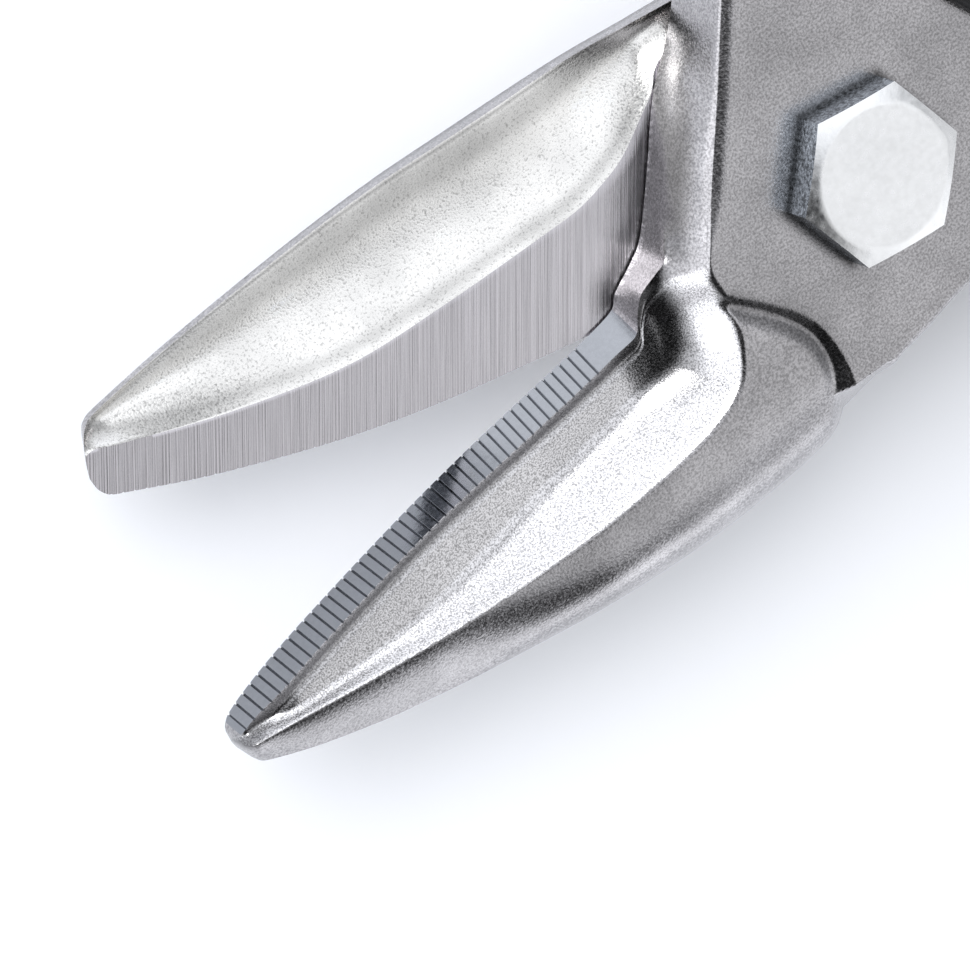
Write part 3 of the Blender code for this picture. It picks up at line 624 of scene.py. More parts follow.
def jaw_mesh(name, jaw, materials):
    """Closed jaw from its two faces, with walls between them."""
    outer, outer_shade, flute = outer_grid(jaw)
    inner, inner_shade = inner_grid(jaw, outer[:, 0], outer[:, -1])
    rows, columns, _ = outer.shape
    inner_columns = inner.shape[1]
    verts = np.vstack([outer.reshape(-1, 3), inner.reshape(-1, 3)])
    base = rows * columns
    faces = grid_faces(rows, columns)
    zones = []
    plate_row = int(np.argmax(outer[:, 0, 0] > STRIP_STOP))
    for i in range(rows - 1):
        zones += [STRIP if TIP_ROWS <= i < plate_row else SATIN] * STRIP_COLUMNS
        zones += [FLUTE if spot else SATIN for spot in flute[i, STRIP_COLUMNS:-1]]
    faces += grid_faces(rows, inner_columns, base)
    zones += ([GROUND] * GROUND_COLUMNS + [HOLLOW] * HOLLOW_COLUMNS) * (rows - 1)
    for i in range(rows - 1):
        for last, zone in ((1, SATIN), (0, STRIP)):
            a = i * columns + last * (columns - 1)
            c = base + i * inner_columns + last * (inner_columns - 1)
            faces.append((a, a + columns, c + inner_columns, c))
            zones.append(zone)
    for row in (0, rows - 1):
        rim = [row * columns + j for j in range(columns)]
        rim += [base + row * inner_columns + j for j in reversed(range(inner_columns))]
        faces.append(tuple(rim))
        zones.append(SATIN)
    painted_shade = np.concatenate([outer_shade, inner_shade])
    return mesh_object(name, verts, faces, materials, zones, painted_shade)


# Noise and relief of the materials, and the way that the grinding lines run
NOISE_DETAIL = 3.0
BUMP_DEPTH = 0.1
ROUGH_SPREAD = 0.07
NOISE_MIDDLE = (0.3, 0.7)
BLOTCH_SIZE = 4.0
COAT_GLOSS = 0.3
GRIND_TURN = math.radians(62.2)


def nodes_of(name):
    made = bpy.data.materials.new(name)
    made.use_nodes = True
    tree = made.node_tree
    return made, tree, tree.nodes["Principled BSDF"]


def added(tree, kind):
    return tree.nodes.new("ShaderNode" + kind)


def fill(node, **values):
    """Constants on a node's sockets, with _ for a space."""
    for name, value in values.items():
        node.inputs[name.replace("_", " ")].default_value = value


def grain_noise(tree, size, stretch=1.0, turn=0.0):
    """Noise of a size in millimetres, stretched one way if asked."""
    place = added(tree, "TexCoord")
    spread = added(tree, "Mapping")
    spread.vector_type = "TEXTURE"
    fill(spread, Rotation=(0.0, 0.0, turn), Scale=(stretch, 1.0, 1.0))
    tree.links.new(place.outputs["Object"], spread.inputs["Vector"])
    noise = added(tree, "TexNoise")
    fill(noise, Scale=1.0 / (size * MM), Detail=NOISE_DETAIL)
    tree.links.new(spread.outputs["Vector"], noise.inputs["Vector"])
    return noise.outputs["Fac"]


def remap(tree, value, low, high, to_low, to_high, eased=False):
    """Value moved from one range to another, within its ends."""
    ramp = added(tree, "MapRange")
    if eased:
        ramp.interpolation_type = "SMOOTHSTEP"
    fill(ramp, From_Min=low, From_Max=high, To_Min=to_low, To_Max=to_high)
    tree.links.new(value, ramp.inputs["Value"])
    return ramp.outputs["Result"]


def maths(tree, operation, first, second):
    """Maths node of two values, each a socket or a number."""
    node = added(tree, "Math")
    node.operation = operation
    for socket, value in zip(node.inputs, (first, second)):
        if isinstance(value, float):
            socket.default_value = value
        else:
            tree.links.new(value, socket)
    return node.outputs[0]


def finish_surface(tree, shader, colour, tone, roughness, fine, bump):
    """Colour, and roughness and relief from the fine noise."""
    tint = added(tree, "VectorMath")
    tint.operation = "SCALE"
    tint.inputs[0].default_value = colour
    tree.links.new(tone, tint.inputs["Scale"])
    tree.links.new(tint.outputs["Vector"], shader.inputs["Base Color"])
    rough = remap(tree, fine, *NOISE_MIDDLE, roughness - ROUGH_SPREAD, roughness + ROUGH_SPREAD)
    tree.links.new(rough, shader.inputs["Roughness"])
    relief = added(tree, "Bump")
    fill(relief, Strength=bump, Distance=BUMP_DEPTH * MM)
    tree.links.new(fine, relief.inputs["Height"])
    tree.links.new(relief.outputs["Normal"], shader.inputs["Normal"])


def steel(name, colour, roughness, grain, bump, contrast, blotch=0.0, stretch=1.0, turn=0.0,
          specks=(0.32, 0.68)):
    """Steel with fine grain, or with grinding lines along one way."""
    made, tree, shader = nodes_of(name)
    fill(shader, Metallic=1.0)
    fine = grain_noise(tree, grain, stretch, turn)
    tone = remap(tree, fine, *specks, 1.0 - contrast, 1.0 + contrast)
    if blotch:
        wide = grain_noise(tree, BLOTCH_SIZE)
        patches = remap(tree, wide, *NOISE_MIDDLE, 1.0 - blotch, 1.0 + blotch)
        tone = maths(tree, "MULTIPLY", tone, patches)
    # Darkened where the mesh's painted shade attribute says
    local = added(tree, "Attribute")
    local.attribute_name = "painted_shade"
    unshaded = remap(tree, local.outputs["Fac"], 0.0, 1.0, 1.0, 0.0)
    tone = maths(tree, "MULTIPLY", tone, unshaded)
    finish_surface(tree, shader, colour, tone, roughness, fine, bump)
    return made


def coat(name, colour, roughness, grain, bump):
    made, tree, shader = nodes_of(name)
    fill(shader, Specular_IOR_Level=COAT_GLOSS)
    fine = grain_noise(tree, grain)
    tone = remap(tree, fine, *NOISE_MIDDLE, 0.9, 1.1)
    finish_surface(tree, shader, colour, tone, roughness, fine, bump)
    return made


# Steels: colour, roughness, grain size, bump, contrast, blotches
SATIN_STEEL = steel("satin_plate", (0.41, 0.4, 0.408), 0.22, 0.17, 0.14, 0.3, 0.12,
                    specks=(0.36, 0.64))
# Satin steel with coarser specks for the flutes, lighter than the plate's: the lightness is painted
# light
LIT_FLUTE_STEEL = steel("satin_flute_painted_light", (0.58, 0.572, 0.58), 0.2, 0.12, 0.14, 0.42, 0.06,
                    specks=(0.37, 0.58))
# Lighter copy of the satin steel for the hollows, with its own specks: the lightness is painted
# light
LIT_HOLLOW_STEEL = steel("satin_painted_light", (0.74, 0.73, 0.71), 0.24, 0.16, 0.14, 0.28, 0.12,
                     specks=(0.3, 0.48))
GROUND_STEEL = steel("ground_steel", (0.6, 0.58, 0.605), 0.24, 0.12, 0.22, 0.2,
                     stretch=120.0, turn=GRIND_TURN)
STRIP_STEEL = steel("cut_steel", (0.27, 0.28, 0.3), 0.14, 0.3, 0.05, 0.05)
ZINC_STEEL = steel("bright_zinc", (0.93, 0.935, 0.94), 0.22, 0.6, 0.1, 0.04, 0.03)
# Darker copy of the bright zinc for the hex flanks: painted shade
SHADED_ZINC_SIDE = steel("zinc_side_painted_shade", (0.52, 0.57, 0.62), 0.18, 0.24, 0.12, 0.55, 0.1,
                  specks=(0.36, 0.62))
WIRE_STEEL = steel("spring_wire", (0.36, 0.36, 0.38), 0.3, 0.3, 0.15, 0.1)

# Coats: colour, roughness, grain size, bump
BLACK_COAT = coat("black_coat", (0.018, 0.018, 0.019), 0.42, 0.35, 0.35)
RED_VINYL = coat("red_vinyl", (0.42, 0.013, 0.014), 0.46, 0.5, 0.2)
PAD_RUBBER = coat("pad_rubber", (0.022, 0.022, 0.024), 0.68, 0.3, 0.4)

JAW_COATS = [SATIN_STEEL, GROUND_STEEL, STRIP_STEEL, LIT_HOLLOW_STEEL, LIT_FLUTE_STEEL]


def show(piece, body, slot, *nodes):
    """A piece that rides on a body for CAD nodes."""
    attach(piece, body)
    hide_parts(*nodes)


# Pivot bolt: head, shank, thread and nut
HEAD_LOW = 6.19
HEAD_HIGH = 8.8
LAND_R = 0.89 * HEX_ACROSS / 2
LAND_RINGS = (0.0, 0.5, 0.96, 1.0)
CHAMFER = math.tan(math.radians(12))
CHAMFER_RINGS = (0.35, 0.7, 1.0)
HEX_STEPS = 96
BOLT_R = 3.2
THREAD_PITCH = 1.0
THREAD_DEPTH = 0.45
THREAD_TOP = -6.4
NUT_LOW, NUT_HIGH = -11.0, -7.6
NUT_PLAY = 0.1
WASHER_PROFILE = [(3.3, -6.3), (7.2, -6.3), (7.5, -6.55), (7.5, -7.25), (7.2, -7.5), (3.3, -7.5),
                  (3.3, -6.3)]


def spun_faces(steps, size):
    faces = []
    for i in range(steps):
        for j in range(size - 1):
            a, b = i * size + j, ((i + 1) % steps) * size + j
            faces.append((a, b, b + 1, a + 1))
    return faces


def lathe(name, profile, centre, mat, steps=64):
    """Round piece from a profile of (radius, height)."""
    verts = []
    for i in range(steps):
        angle = 2 * math.pi * i / steps
        for r, z in profile:
            verts.append((centre[0] + r * math.cos(angle), centre[1] + r * math.sin(angle), z))
    faces = spun_faces(steps, len(profile))
    return mesh_object(name, verts, faces, [mat])


def hex_piece(name, low, high, chamfer_low, chamfer_high, bore, mat):
    """Hexagon with its corners turned down, with a bore if asked."""
    verts = []
    for i in range(HEX_STEPS):
        angle = HEX_CORNER + 2 * math.pi * i / HEX_STEPS
        reach = HEX_ACROSS / 2 / math.cos(hex_turn(angle))
        falls = [(reach - LAND_R) * s for s in CHAMFER_RINGS]
        spoke = [(max(bore, LAND_R * s), high) for s in LAND_RINGS]
        spoke += [(LAND_R + f, high - CHAMFER * f * chamfer_high) for f in falls]
        spoke += [(LAND_R + f, low + CHAMFER * f * chamfer_low) for f in reversed(falls)]
        spoke += [(max(bore, LAND_R * s), low) for s in reversed(LAND_RINGS)]
        if bore:
            spoke.append(spoke[0])
        for r, z in spoke:
            verts.append((r * math.cos(angle), r * math.sin(angle), z))
    size = len(verts) // HEX_STEPS
    faces = spun_faces(HEX_STEPS, size)
    flank = len(LAND_RINGS) + len(CHAMFER_RINGS) - 1
    # Flanks of the hexagon take the darker zinc copy: painted shade
    zones = ([0] * flank + [1] + [0] * (size - 2 - flank)) * HEX_STEPS
    return mesh_object(name, verts, faces, [mat, SHADED_ZINC_SIDE], zones)


def merged(name, parts):
    bm = bmesh.new()
    for part in parts:
        bm.from_mesh(part.data)
    mesh = bpy.data.meshes.new(name)
    for mat in parts[0].data.materials:
        mesh.materials.append(mat)
    bm.to_mesh(mesh)
    bm.free()
    for part in parts:
        bpy.data.objects.remove(part)
    mesh.set_sharp_from_angle(angle=SHARP)
    return linked(name, mesh)


def thread_profile():
    """Bolt end with a thread and a plain collar."""
    core = BOLT_R - THREAD_DEPTH
    profile = [(0.0, -SHEAR_Z), (BOLT_R - 0.5, -SHEAR_Z)]
    z = 0.4 - SHEAR_Z
    while z + THREAD_PITCH < THREAD_TOP:
        profile += [(core, z), (BOLT_R, z + 0.5 * THREAD_PITCH)]
        z += THREAD_PITCH
    return profile + [(core, THREAD_TOP), (core, THREAD_TOP + 1), (0.0, THREAD_TOP + 1)]


bolt_head = hex_piece("bolt_head", HEAD_LOW, HEAD_HIGH, 0.0, 1.0, 0.0, ZINC_STEEL)
bolt_end = lathe("bolt_end", thread_profile(), (0, 0), ZINC_STEEL)
show(merged("hex_bolt", [bolt_head, bolt_end]), "lower_jaw", "zinc_fastener", "pivot_bolt")
nut = hex_piece("hex_nut", NUT_LOW, NUT_HIGH, 1.0, 1.0, BOLT_R + NUT_PLAY, ZINC_STEEL)
show(nut, "lower_jaw", "zinc_fastener", "pivot_nut")
washer = lathe("flat_washer", WASHER_PROFILE, (0, 0), ZINC_STEEL)
show(washer, "lower_jaw", "zinc_fastener", "pivot_washer")

# Linkage points
TAIL = Vector((21.586, 7.433))
LINK_PIVOT = Vector((38.527, 0.0))
ARM_END = LINK_PIVOT + Vector((23.5, 17.8))
ARM_ANGLE = math.radians(15.1)
RIVET_R = 2.5
RIVET_HEAD_R = 4.2
RIVET_RIM = 0.25
RIVET_DOME = 0.85
RIVET_PLAY = 0.1

# Half heights of the two channels, inside and outside
UPPER_IN, UPPER_OUT = 6.4, 8.2
LOWER_IN, LOWER_OUT = 8.4, 10.2


def rivet(name, centre, half):
    seat = half + RIVET_PLAY
    steps = 8
    dome = []
    for i in range(steps + 1):
        angle = math.pi / 2 * i / steps
        rise = RIVET_RIM + RIVET_DOME * math.cos(angle)
        dome.append((RIVET_HEAD_R * math.sin(angle), seat + rise))
    profile = dome + [(RIVET_HEAD_R, seat), (RIVET_R, seat)]
    profile += [(r, -z) for r, z in reversed(profile)]
    return lathe(name, profile, centre, ZINC_STEEL)


show(rivet("lower_tail_dome", (TAIL.x, -TAIL.y), LOWER_OUT), "lower_jaw", "zinc_fastener",
     "lower_tail_rivet")
show(rivet("upper_tail_dome", (TAIL.x, TAIL.y), UPPER_OUT), "upper_jaw", "zinc_fastener",
     "upper_tail_rivet")
show(rivet("handle_dome", LINK_PIVOT, LOWER_OUT), "lower_handle", "zinc_fastener", "handle_rivet")


def turn_plan(points, centre, angle, mirror):
    """Points turned, moved, and mirrored if mirror is -1."""
    cos, sin = math.cos(angle), math.sin(angle)
    return [(x * cos - y * sin + centre[0], (x * sin + y * cos + centre[1]) * mirror)
            for x, y in points]


def rounded(corners, step=math.radians(6)):
    """Outline with arcs: each corner is (x, y, radius)."""
    outline = []
    count = len(corners)
    for index, (x, y, radius) in enumerate(corners):
        here = Vector((x, y))
        back = Vector(corners[index - 1][:2]) - here
        ahead = Vector(corners[(index + 1) % count][:2]) - here
        opening = back.angle(ahead)
        if radius <= 0 or opening > math.pi - 0.02:
            outline.append((x, y))
            continue
        reach = min(radius / math.tan(opening / 2), 0.45 * back.length, 0.45 * ahead.length)
        radius = reach * math.tan(opening / 2)
        centre = here + (back.normalized() + ahead.normalized()).normalized() * (
            radius / math.sin(opening / 2))
        start = here + back.normalized() * reach - centre
        turn = start.angle_signed(here + ahead.normalized() * reach - centre)
        pieces = max(2, math.ceil(abs(turn) / step))
        for piece in range(pieces + 1):
            spoke = start.copy()
            spoke.rotate(Matrix.Rotation(-turn * piece / pieces, 2))
            outline.append(tuple(centre + spoke))
    return outline


def add_run(curve, points):
    run = curve.splines.new("POLY")
    run.points.add(len(points) - 1)
    for point, (x, y, z) in zip(run.points, points):
        point.co = (x * MM, y * MM, z * MM, 1.0)
    return run


def slab(name, outline, low, high, edge, mat):
    """Flat outline with a thickness and rounded rims."""
    curve = bpy.data.curves.new(name, "CURVE")
    curve.dimensions = "2D"
    curve.fill_mode = "BOTH"
    curve.extrude = ((high - low) / 2 - edge) * MM
    curve.bevel_depth = edge * MM
    curve.offset = -edge * MM
    curve.bevel_resolution = 3
    add_run(curve, [(x, y, 0.0) for x, y in outline]).use_cyclic_u = True
    return curve_mesh(name, curve, (SHEAR_Z + (high + low) / 2) * MM, mat)


def evaluated(target):
    bpy.context.view_layer.update()
    graph = bpy.context.evaluated_depsgraph_get()
    return bpy.data.meshes.new_from_object(target.evaluated_get(graph))


def curve_mesh(name, curve, lift, mat):
    drawn = linked(name + "_path", curve)
    mesh = evaluated(drawn)
    bpy.data.objects.remove(drawn)
    mesh.transform(Matrix.Translation((0, 0, lift)))
    weld(mesh, 1e-6)
    mesh.name = name
    mesh.materials.clear()
    mesh.materials.append(mat)
    shade(mesh)
    return linked(name, mesh)


def carve(target, tool):
    """Cut the tool out of the target for good."""
    boolean = target.modifiers.new("Cut", "BOOLEAN")
    boolean.operation = "DIFFERENCE"
    boolean.object = tool
    mesh = evaluated(target)
    target.modifiers.clear()
    target.data = mesh
    bpy.data.objects.remove(tool)
    shade(mesh)


# Tails of the jaws, with a boss for the handle rivet
BOSS_R = 6.5
BOSS_ROUND = 0.5
TAIL_FROM = 13.0
TAIL_SIDES = (-0.6, -12.0)
TAIL_INSET = 0.02
TAIL_ROUND = 0.6


def whole_jaw(name, jaw):
    side = jaw["side"]
    front = jaw_mesh(name, jaw, JAW_COATS)
    root = [(TAIL_FROM, TAIL_SIDES[0]), (TAIL.x, -TAIL.y + 0.8 * BOSS_R),
            (TAIL.x, -TAIL.y - 0.85 * BOSS_R), (TAIL_FROM, TAIL_SIDES[1])]
    low, high = sorted((side * JAW_IN, side * (JAW_OUT - TAIL_INSET)))
    plan = [(x, y * side) for x, y in root]
    neck = slab(name + "_neck", plan, low, high, TAIL_ROUND, SATIN_STEEL)
    profile = [(RIVET_R, JAW_OUT), (BOSS_R - BOSS_ROUND, JAW_OUT), (BOSS_R, JAW_OUT - BOSS_ROUND)]
    profile += [(r, -z) for r, z in reversed(profile)] + profile[:1]
    boss = lathe(name + "_boss", profile, (TAIL.x, -TAIL.y * side), SATIN_STEEL)
    return merged(name, [front, neck, boss])


show(whole_jaw("lower_jaw_forging", LOWER), "lower_jaw", "plated_jaw", "lower_jaw")
show(whole_jaw("upper_jaw_forging", UPPER), "upper_jaw", "plated_jaw", "upper_jaw")

# Handles: stamped channels, open at the nose and on the inner side
CHANNEL_TOP = 14.933
FLANGE_T = 1.8
NECK_HALF = 6.2
BLOCK_L = 6.0
CHANNEL_ROUND = 0.7


def handle(name, mirror, inside, outside):
    """Channel with the room for the jaws cut out of it."""
    px = LINK_PIVOT.x
    top = CHANNEL_TOP + FLANGE_T
    rear = turn_plan([(0.0, -NECK_HALF), (0.0, NECK_HALF)], ARM_END, ARM_ANGLE, 1)
    corners = [(7.2, 12.2, 2.0), (13.2, 3.2, 2.5), (px - 7.5, -5.2, 4.0), (px - 0.5, -7.4, 5.0),
               (px + 8.0, -4.6, 5.0), (*rear[0], 0), (*rear[1], 0), (px + 7.5, top + 2.4, 8.0),
               (px - 8.5, top + 0.6, 8.0), (TAIL.x - 8.0, top - 0.2, 3.0)]
    outline = [(x, y * mirror) for x, y in rounded(corners)]
    made = slab(name, outline, -outside, outside, CHANNEL_ROUND, BLACK_COAT)
    back = turn_plan([(-BLOCK_L, NECK_HALF - FLANGE_T), (-BLOCK_L, -3 * NECK_HALF)],
                     ARM_END, ARM_ANGLE, 1)
    far = 2 * CHANNEL_TOP
    room = [(-far, far), (TAIL.x - 6.0, far), (TAIL.x - 6.0, CHANNEL_TOP - 0.2),
            (px - 8.5, CHANNEL_TOP + 0.6), (px + 7.5, CHANNEL_TOP + 2.4), *back, (-far, -far)]
    tool = slab(name + "_room", [(x, y * mirror) for x, y in room], -inside, inside, 0.0, BLACK_COAT)
    carve(made, tool)
    return made


show(handle("upper_channel", 1, UPPER_IN, UPPER_OUT), "upper_handle", "black_steel", "upper_handle")
show(handle("lower_channel", -1, LOWER_IN, LOWER_OUT), "lower_handle", "black_steel", "lower_handle")

# Grips: half widths along the arm, outer and inner side
GRIP_L = 124.0
GRIP_OUTER = [
    (0.4, 7.6), (3, 10.6), (7, 12.7), (13, 12), (22, 11.2), (42, 11.6), (62, 11.9), (82, 11.2),
    (100, 10.6), (112, 10.9), (119, 10.3), (122.5, 8), (124, 3.8)]
GRIP_INNER = [
    (0.4, -7.4), (3, -9), (7, -9.5), (13, -9), (22, -8.7), (42, -9.5), (62, -10.1), (82, -9.3),
    (100, -8.3), (112, -8.4), (119, -8), (122.5, -6), (124, -2)]
GRIP_HALF_T = [
    (0.4, 8.6), (2, 10.6), (5, 11.4), (60, 11.4), (114, 11.4), (120, 10.4), (123, 8), (124, 5)]
SQUARE = 3.2
FINGER_PITCH = 22.0
FINGER_DEPTH = 0.8
FINGER_FIRST = 32
FINGERS_AT = (24, 34, 96, 106)

# Pads let into the grips
PAD_FROM, PAD_TO = 22.0, 100.0
PAD_HALF_ANGLE = math.radians(44)
PAD_ARC_R = 12.0
PAD_RISE = 0.45
PAD_SUNK = 0.1
PAD_ROUND = 0.9
PAD_DEPTH = 1.2
RIB_PITCH = 3.2
RIB_HEIGHT = 0.28
RIB_START = (2, 3)


def grip_point(s, angle, out):
    high = read(GRIP_OUTER, s)
    low = read(GRIP_INNER, s)
    thick = read(GRIP_HALF_T, s)
    wave = np.cos(2 * np.pi * (s - FINGER_FIRST) / FINGER_PITCH)
    low = low + FINGER_DEPTH * between(*FINGERS_AT, s) * (0.5 + 0.5 * wave)
    middle, half = (high + low) / 2, (high - low) / 2
    cos, sin = np.cos(angle), np.sin(angle)
    t = np.sign(cos) * np.abs(cos) ** (2 / SQUARE) * (half + out)
    z = np.sign(sin) * np.abs(sin) ** (2 / SQUARE) * (thick + out)
    return middle + t, z


def skin(stations, angles, out, mirror):
    """Grid of points on the grip's skin, moved outwards."""
    rows = []
    for i, s in enumerate(stations):
        t, z = grip_point(np.full(len(angles), s), angles, out[i])
        spots = turn_plan(zip(np.full(len(angles), s), t), ARM_END, ARM_ANGLE, mirror)
        rows.append(np.column_stack([np.array(spots), z]))
    return np.array(rows)


def grip(name, mirror):
    stations = np.concatenate([np.linspace(0.4, 14, 28), np.linspace(15, 112, 98),
                               np.linspace(112.5, GRIP_L, 30)])
    angles = np.linspace(0, 2 * np.pi, 96, endpoint=False)
    body = skin(stations, angles, np.zeros((len(stations), 1)), mirror)
    rows, columns, _ = body.shape
    faces = grid_faces(rows, columns, rings=True)
    faces += [tuple(range(columns)), tuple(range((rows - 1) * columns, rows * columns))]
    return mesh_object(name, body.reshape(-1, 3), faces, [RED_VINYL])


def pad(name, mirror):
    """Rubber pad with cross ribs and a rounded rim."""
    stations = np.linspace(PAD_FROM, PAD_TO, 313)
    angles = np.linspace(-PAD_HALF_ANGLE, PAD_HALF_ANGLE, 41)
    from_end = np.minimum(stations - PAD_FROM, PAD_TO - stations)[:, None]
    from_side = (PAD_HALF_ANGLE - np.abs(angles))[None, :] * PAD_ARC_R
    rim = np.minimum(from_end, from_side)
    inwards = np.clip(1 - rim / PAD_ROUND, 0, 1)
    rise = PAD_RISE * np.sqrt(np.clip(1 - inwards ** 2, 0, 1)) - PAD_SUNK
    ribbed = smooth(*RIB_START, rim)
    rib = 0.5 + 0.5 * np.cos(2 * np.pi * stations / RIB_PITCH)[:, None]
    rise = rise + RIB_HEIGHT * ribbed * rib ** 2
    upper = skin(stations, angles, rise, mirror)
    lower = skin(stations, angles, np.full((len(stations), 1), -PAD_DEPTH), mirror)
    rows, columns, _ = upper.shape
    base = rows * columns
    faces = grid_faces(rows, columns) + grid_faces(rows, columns, base)
    for i in range(rows - 1):
        for j in (0, columns - 1):
            a = i * columns + j
            faces.append((a, a + columns, base + a + columns, base + a))
    for j in range(columns - 1):
        for a in (j, (rows - 1) * columns + j):
            faces.append((a, a + 1, base + a + 1, base + a))
    verts = np.vstack([upper.reshape(-1, 3), lower.reshape(-1, 3)])
    return mesh_object(name, verts, faces, [PAD_RUBBER])


for side, mirror in (("upper", 1), ("lower", -1)):
    body = side + "_handle"
    show(grip(side + "_moulding", mirror), body, "red_grip", side + "_grip")
    show(pad(side + "_rubber", mirror), body, "dark_pad", side + "_grip_pad")

# Return spring round the handle pivot
WIRE_R = 0.7
COIL_R = 5.6
COIL_PITCH = 2.0
COIL_TURNS = 3.5
COIL_STEPS = 168
LEG_L = 14.0


def return_spring():
    length = COIL_PITCH * COIL_TURNS
    points = [(LEG_L, -COIL_R, -length / 2)]
    for i in range(COIL_STEPS + 1):
        angle = -math.pi / 2 - 2 * math.pi * COIL_TURNS * i / COIL_STEPS
        points.append((COIL_R * math.cos(angle), COIL_R * math.sin(angle),
                       length * (i / COIL_STEPS - 0.5)))
    points.append((LEG_L, COIL_R, length / 2))
    curve = bpy.data.curves.new("return_spring", "CURVE")
    curve.dimensions = "3D"
    curve.bevel_depth = WIRE_R * MM
    curve.bevel_resolution = 4
    curve.use_fill_caps = True
    add_run(curve, [(LINK_PIVOT.x + x, y, SHEAR_Z + z) for x, y, z in points])
    return curve_mesh("spring_coil", curve, 0.0, WIRE_STEEL)


show(return_spring(), "lower_handle", "spring_steel", "return_spring")

# Latch on the lower handle and its catch pin on the upper one
LATCH_FROM_LINK = Vector((9.0, -9.0))
LATCH_PIVOT = LINK_PIVOT + LATCH_FROM_LINK
LATCH_LOW, LATCH_HIGH = 11.6, 13.1
LATCH_ROUND = 0.3
LATCH_EYE = 4.0
LATCH_STOWED = math.radians(-20.0)
STUD_PROFILE = [(0.0, 14.2), (1.2, 14.18), (2.3, 13.95), (3.1, 13.6), (3.4, 13.2), (1.8, 13.2),
                (1.8, 11.5), (3.4, 11.5), (3.4, 10.3), (1.8, 10.3), (1.8, 8.6), (0.0, 8.6)]
CATCH_R = 1.8
CATCH_PLAY = 0.4
CATCH_SHUT = Vector((17.0, 4.5))
CATCH_PROFILE = [(0.0, 13.3), (1.2, 13.3), (1.6, 13.15), (1.8, 12.8), (1.8, 6.3), (2.7, 6.3),
                 (2.7, 5.3), (0.0, 5.3)]
HANDLE_SWING = math.radians(25.04)


def latch():
    reach = (CATCH_SHUT - LATCH_FROM_LINK).length
    wide = CATCH_R + CATCH_PLAY
    near, far = reach - wide, reach + wide
    eye = LATCH_EYE
    corners = [(-eye, -eye, 0.95 * eye), (far, -eye - 0.2, 3.0), (far + 1.7, -eye + 0.5, 1.5),
               (far + 1.7, 3.2, 0.7), (far, 3.2, 0.4), (far, -wide, 0.9 * wide),
               (near, -wide, 0.9 * wide), (near, 3.2, 0.5), (0.6 * near, 2.6, 3.0),
               (0.3 * near, eye, 1.0), (-eye, eye, 0.95 * eye)]
    outline = turn_plan(rounded(corners), LATCH_PIVOT, LATCH_STOWED, 1)
    return slab("latch_lever", outline, LATCH_LOW, LATCH_HIGH, LATCH_ROUND, ZINC_STEEL)


show(latch(), "latch", "zinc_fastener", "latch")
latch_rivet = lathe("latch_stud", STUD_PROFILE, LATCH_PIVOT, ZINC_STEEL)
show(latch_rivet, "lower_handle", "zinc_fastener", "latch_rivet")
catch_spot = CATCH_SHUT.copy()
catch_spot.rotate(Matrix.Rotation(HANDLE_SWING, 2))
catch = lathe("catch_stud", CATCH_PROFILE, LINK_PIVOT + catch_spot, ZINC_STEEL)
show(catch, "upper_handle", "zinc_fastener", "latch_catch_pin")

# Small CAD nodes that are shown as they are
for name in ("lower_tail_washer_top", "lower_tail_washer_bottom", "handle_pivot_spacer"):
    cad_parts[name].material_slots[0].material = ZINC_STEEL


def add_camera():
    """Camera of the photograph."""
    data = bpy.data.cameras.new("camera")
    data.sensor_fit = "HORIZONTAL"
    data.angle_x = 2 * math.atan(IMAGE_WIDTH / 2 / FOCAL_PIXELS)
    data.clip_start = 0.01
    made = linked("camera", data)
    place = Vector(CAMERA_PLACE)
    ahead = (Vector(CAMERA_AIM) - place).normalized()
    hint = Vector((math.cos(CAMERA_UP), math.sin(CAMERA_UP), 0))
    right = ahead.cross(hint).normalized()
    up = right.cross(ahead)
    turn = Matrix((right, up, -ahead)).transposed().to_4x4()
    made.matrix_world = Matrix.Translation((place + Vector((0, 0, SHEAR_Z))) * MM) @ turn
    bpy.context.scene.camera = made


add_camera()

# Floor, lamps and sky
FLOOR_SIZE = 4.0
FLOOR_PLACE = (0.06, 0, -0.0003)
FLOOR_GLOW = 0.11
FLOOR_ALBEDO = (0.88, 0.895, 0.93, 1)
FLOOR_ROUGH = 0.95


def add_floor():
    """Pale floor that glows where it is seen or mirrored."""
    bpy.ops.mesh.primitive_plane_add(size=FLOOR_SIZE, location=FLOOR_PLACE)
    floor = bpy.context.object
    floor.name = "floor"
    made, tree, shader = nodes_of("floor_white")
    fill(shader, Base_Color=FLOOR_ALBEDO, Roughness=FLOOR_ROUGH, Specular_IOR_Level=0.0,
         Emission_Color=(1, 1, 1, 1))
    rays = added(tree, "LightPath").outputs
    mirrored = maths(tree, "MAXIMUM", rays["Is Glossy Ray"], rays["Is Transmission Ray"])
    seen = maths(tree, "MAXIMUM", rays["Is Camera Ray"], mirrored)
    glow = remap(tree, seen, 0.0, 1.0, 0.0, FLOOR_GLOW)
    tree.links.new(glow, shader.inputs["Emission Strength"])
    floor.data.materials.append(made)


add_floor()

LAMP_AIM = Vector((-0.03, 0, 0.012))


def add_lamp(name, direction, distance, size, radiance):
    """Round soft box of a given brightness."""
    data = bpy.data.lights.new(name, "AREA")
    data.shape = "DISK"
    data.size = size
    data.energy = radiance * math.pi * math.pi * size * size / 4
    made = linked(name, data)
    made.location = LAMP_AIM + Vector(direction).normalized() * distance
    made.rotation_euler = (LAMP_AIM - made.location).to_track_quat("-Z", "Y").to_euler()


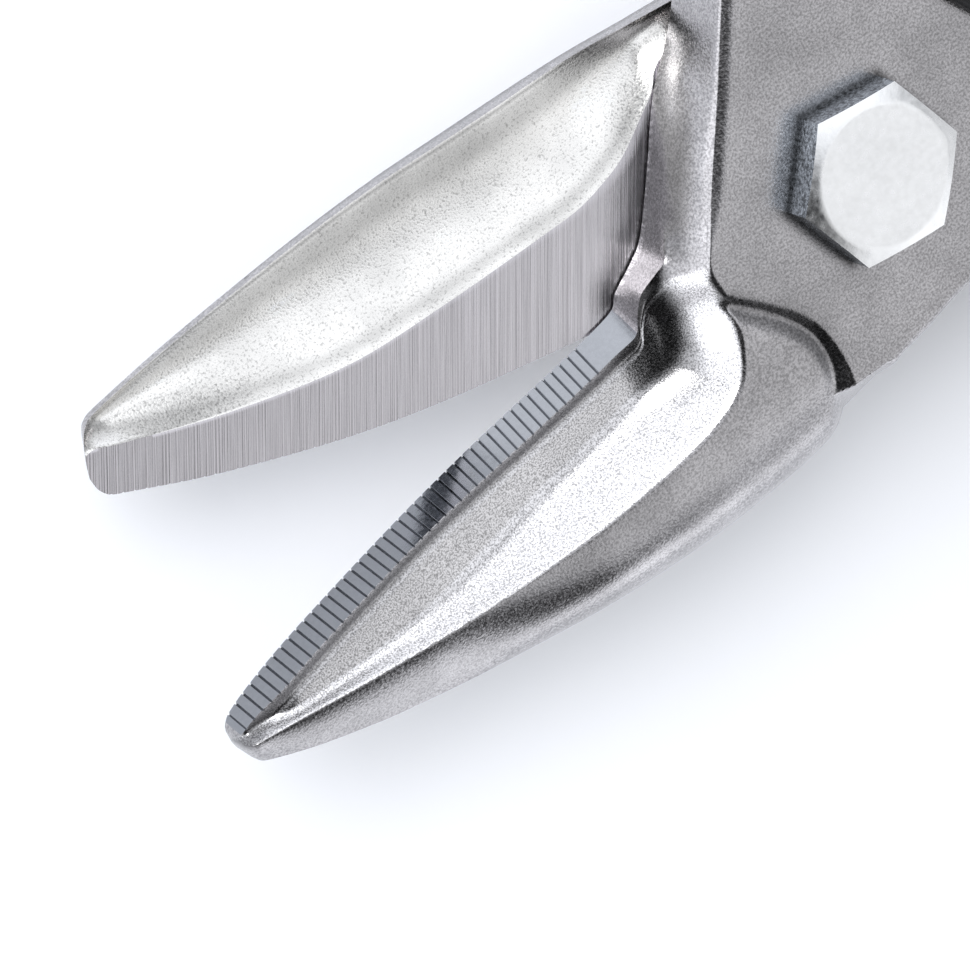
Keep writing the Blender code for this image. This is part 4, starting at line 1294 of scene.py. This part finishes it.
add_lamp("key", (-0.35, 0.75, 0.8), distance=1.0, size=0.55, radiance=7.5)
add_lamp("overhead", (0.40, -0.52, 0.75), distance=1.2, size=0.9, radiance=0.42)

# Sky: soft lights with their direction, cosines at the rim and at the core, and strength
SKY_TINT = (0.94, 0.96, 1.0, 1)
SKY_BASE = 0.48
SKY_LIGHTS = [
    ((0.35, 0.1, 0.93), 0.9, 0.98, 0.75),
    ((-0.1, 0.85, 0.5), 0.74, 0.97, 1.25),
    ((-0.88, 0.22, 0.45), 0.8, 0.95, 1.3),
    ((0.42, -0.85, 0.3), 0.88, 0.98, 0.45),
    ((0, 0, -1), -0.32, -0.02, 0.45),
    ((-0.92, -0.36, 0.02), 0.955, 0.985, 1.3),
    ((-0.99, -0.08, 0.02), 0.955, 0.985, 1.3),
    ((0.14, -0.98, 0.04), 0.955, 0.985, 0.9),
    ((0.15, -0.64, 0.75), 0.97, 0.995, 0.13),
]

# Dark cards with their direction and the same two cosines
SKY_CARDS = [
    ((0.02, -0.9, 0.4), 0.965, 0.985),
    ((-0.42, -0.42, 0.8), 0.79, 0.92),
]
CARD_DARK = 0.95


def sky_part(tree, direction, low, high, amount):
    """Share of the sky's light that lies around a direction."""
    place = added(tree, "TexCoord")
    facing = added(tree, "VectorMath")
    facing.operation = "DOT_PRODUCT"
    facing.inputs[1].default_value = Vector(direction).normalized()
    tree.links.new(place.outputs["Generated"], facing.inputs[0])
    return remap(tree, facing.outputs["Value"], low, high, 0.0, amount, eased=True)


def add_sky():
    """Grey tent with brighter panels and two dark cards."""
    world = bpy.data.worlds.new("studio")
    world.use_nodes = True
    tree = world.node_tree
    back = tree.nodes["Background"]
    fill(back, Color=SKY_TINT)
    total = SKY_BASE
    for direction, low, high, amount in SKY_LIGHTS:
        total = maths(tree, "ADD", sky_part(tree, direction, low, high, amount), total)
    for direction, low, high in SKY_CARDS:
        dark = sky_part(tree, direction, low, high, CARD_DARK)
        total = maths(tree, "MULTIPLY", total, maths(tree, "SUBTRACT", 1.0, dark))
    tree.links.new(total, back.inputs["Strength"])
    bpy.context.scene.world = world


add_sky()
bpy.context.scene.view_settings.view_transform = "Standard"
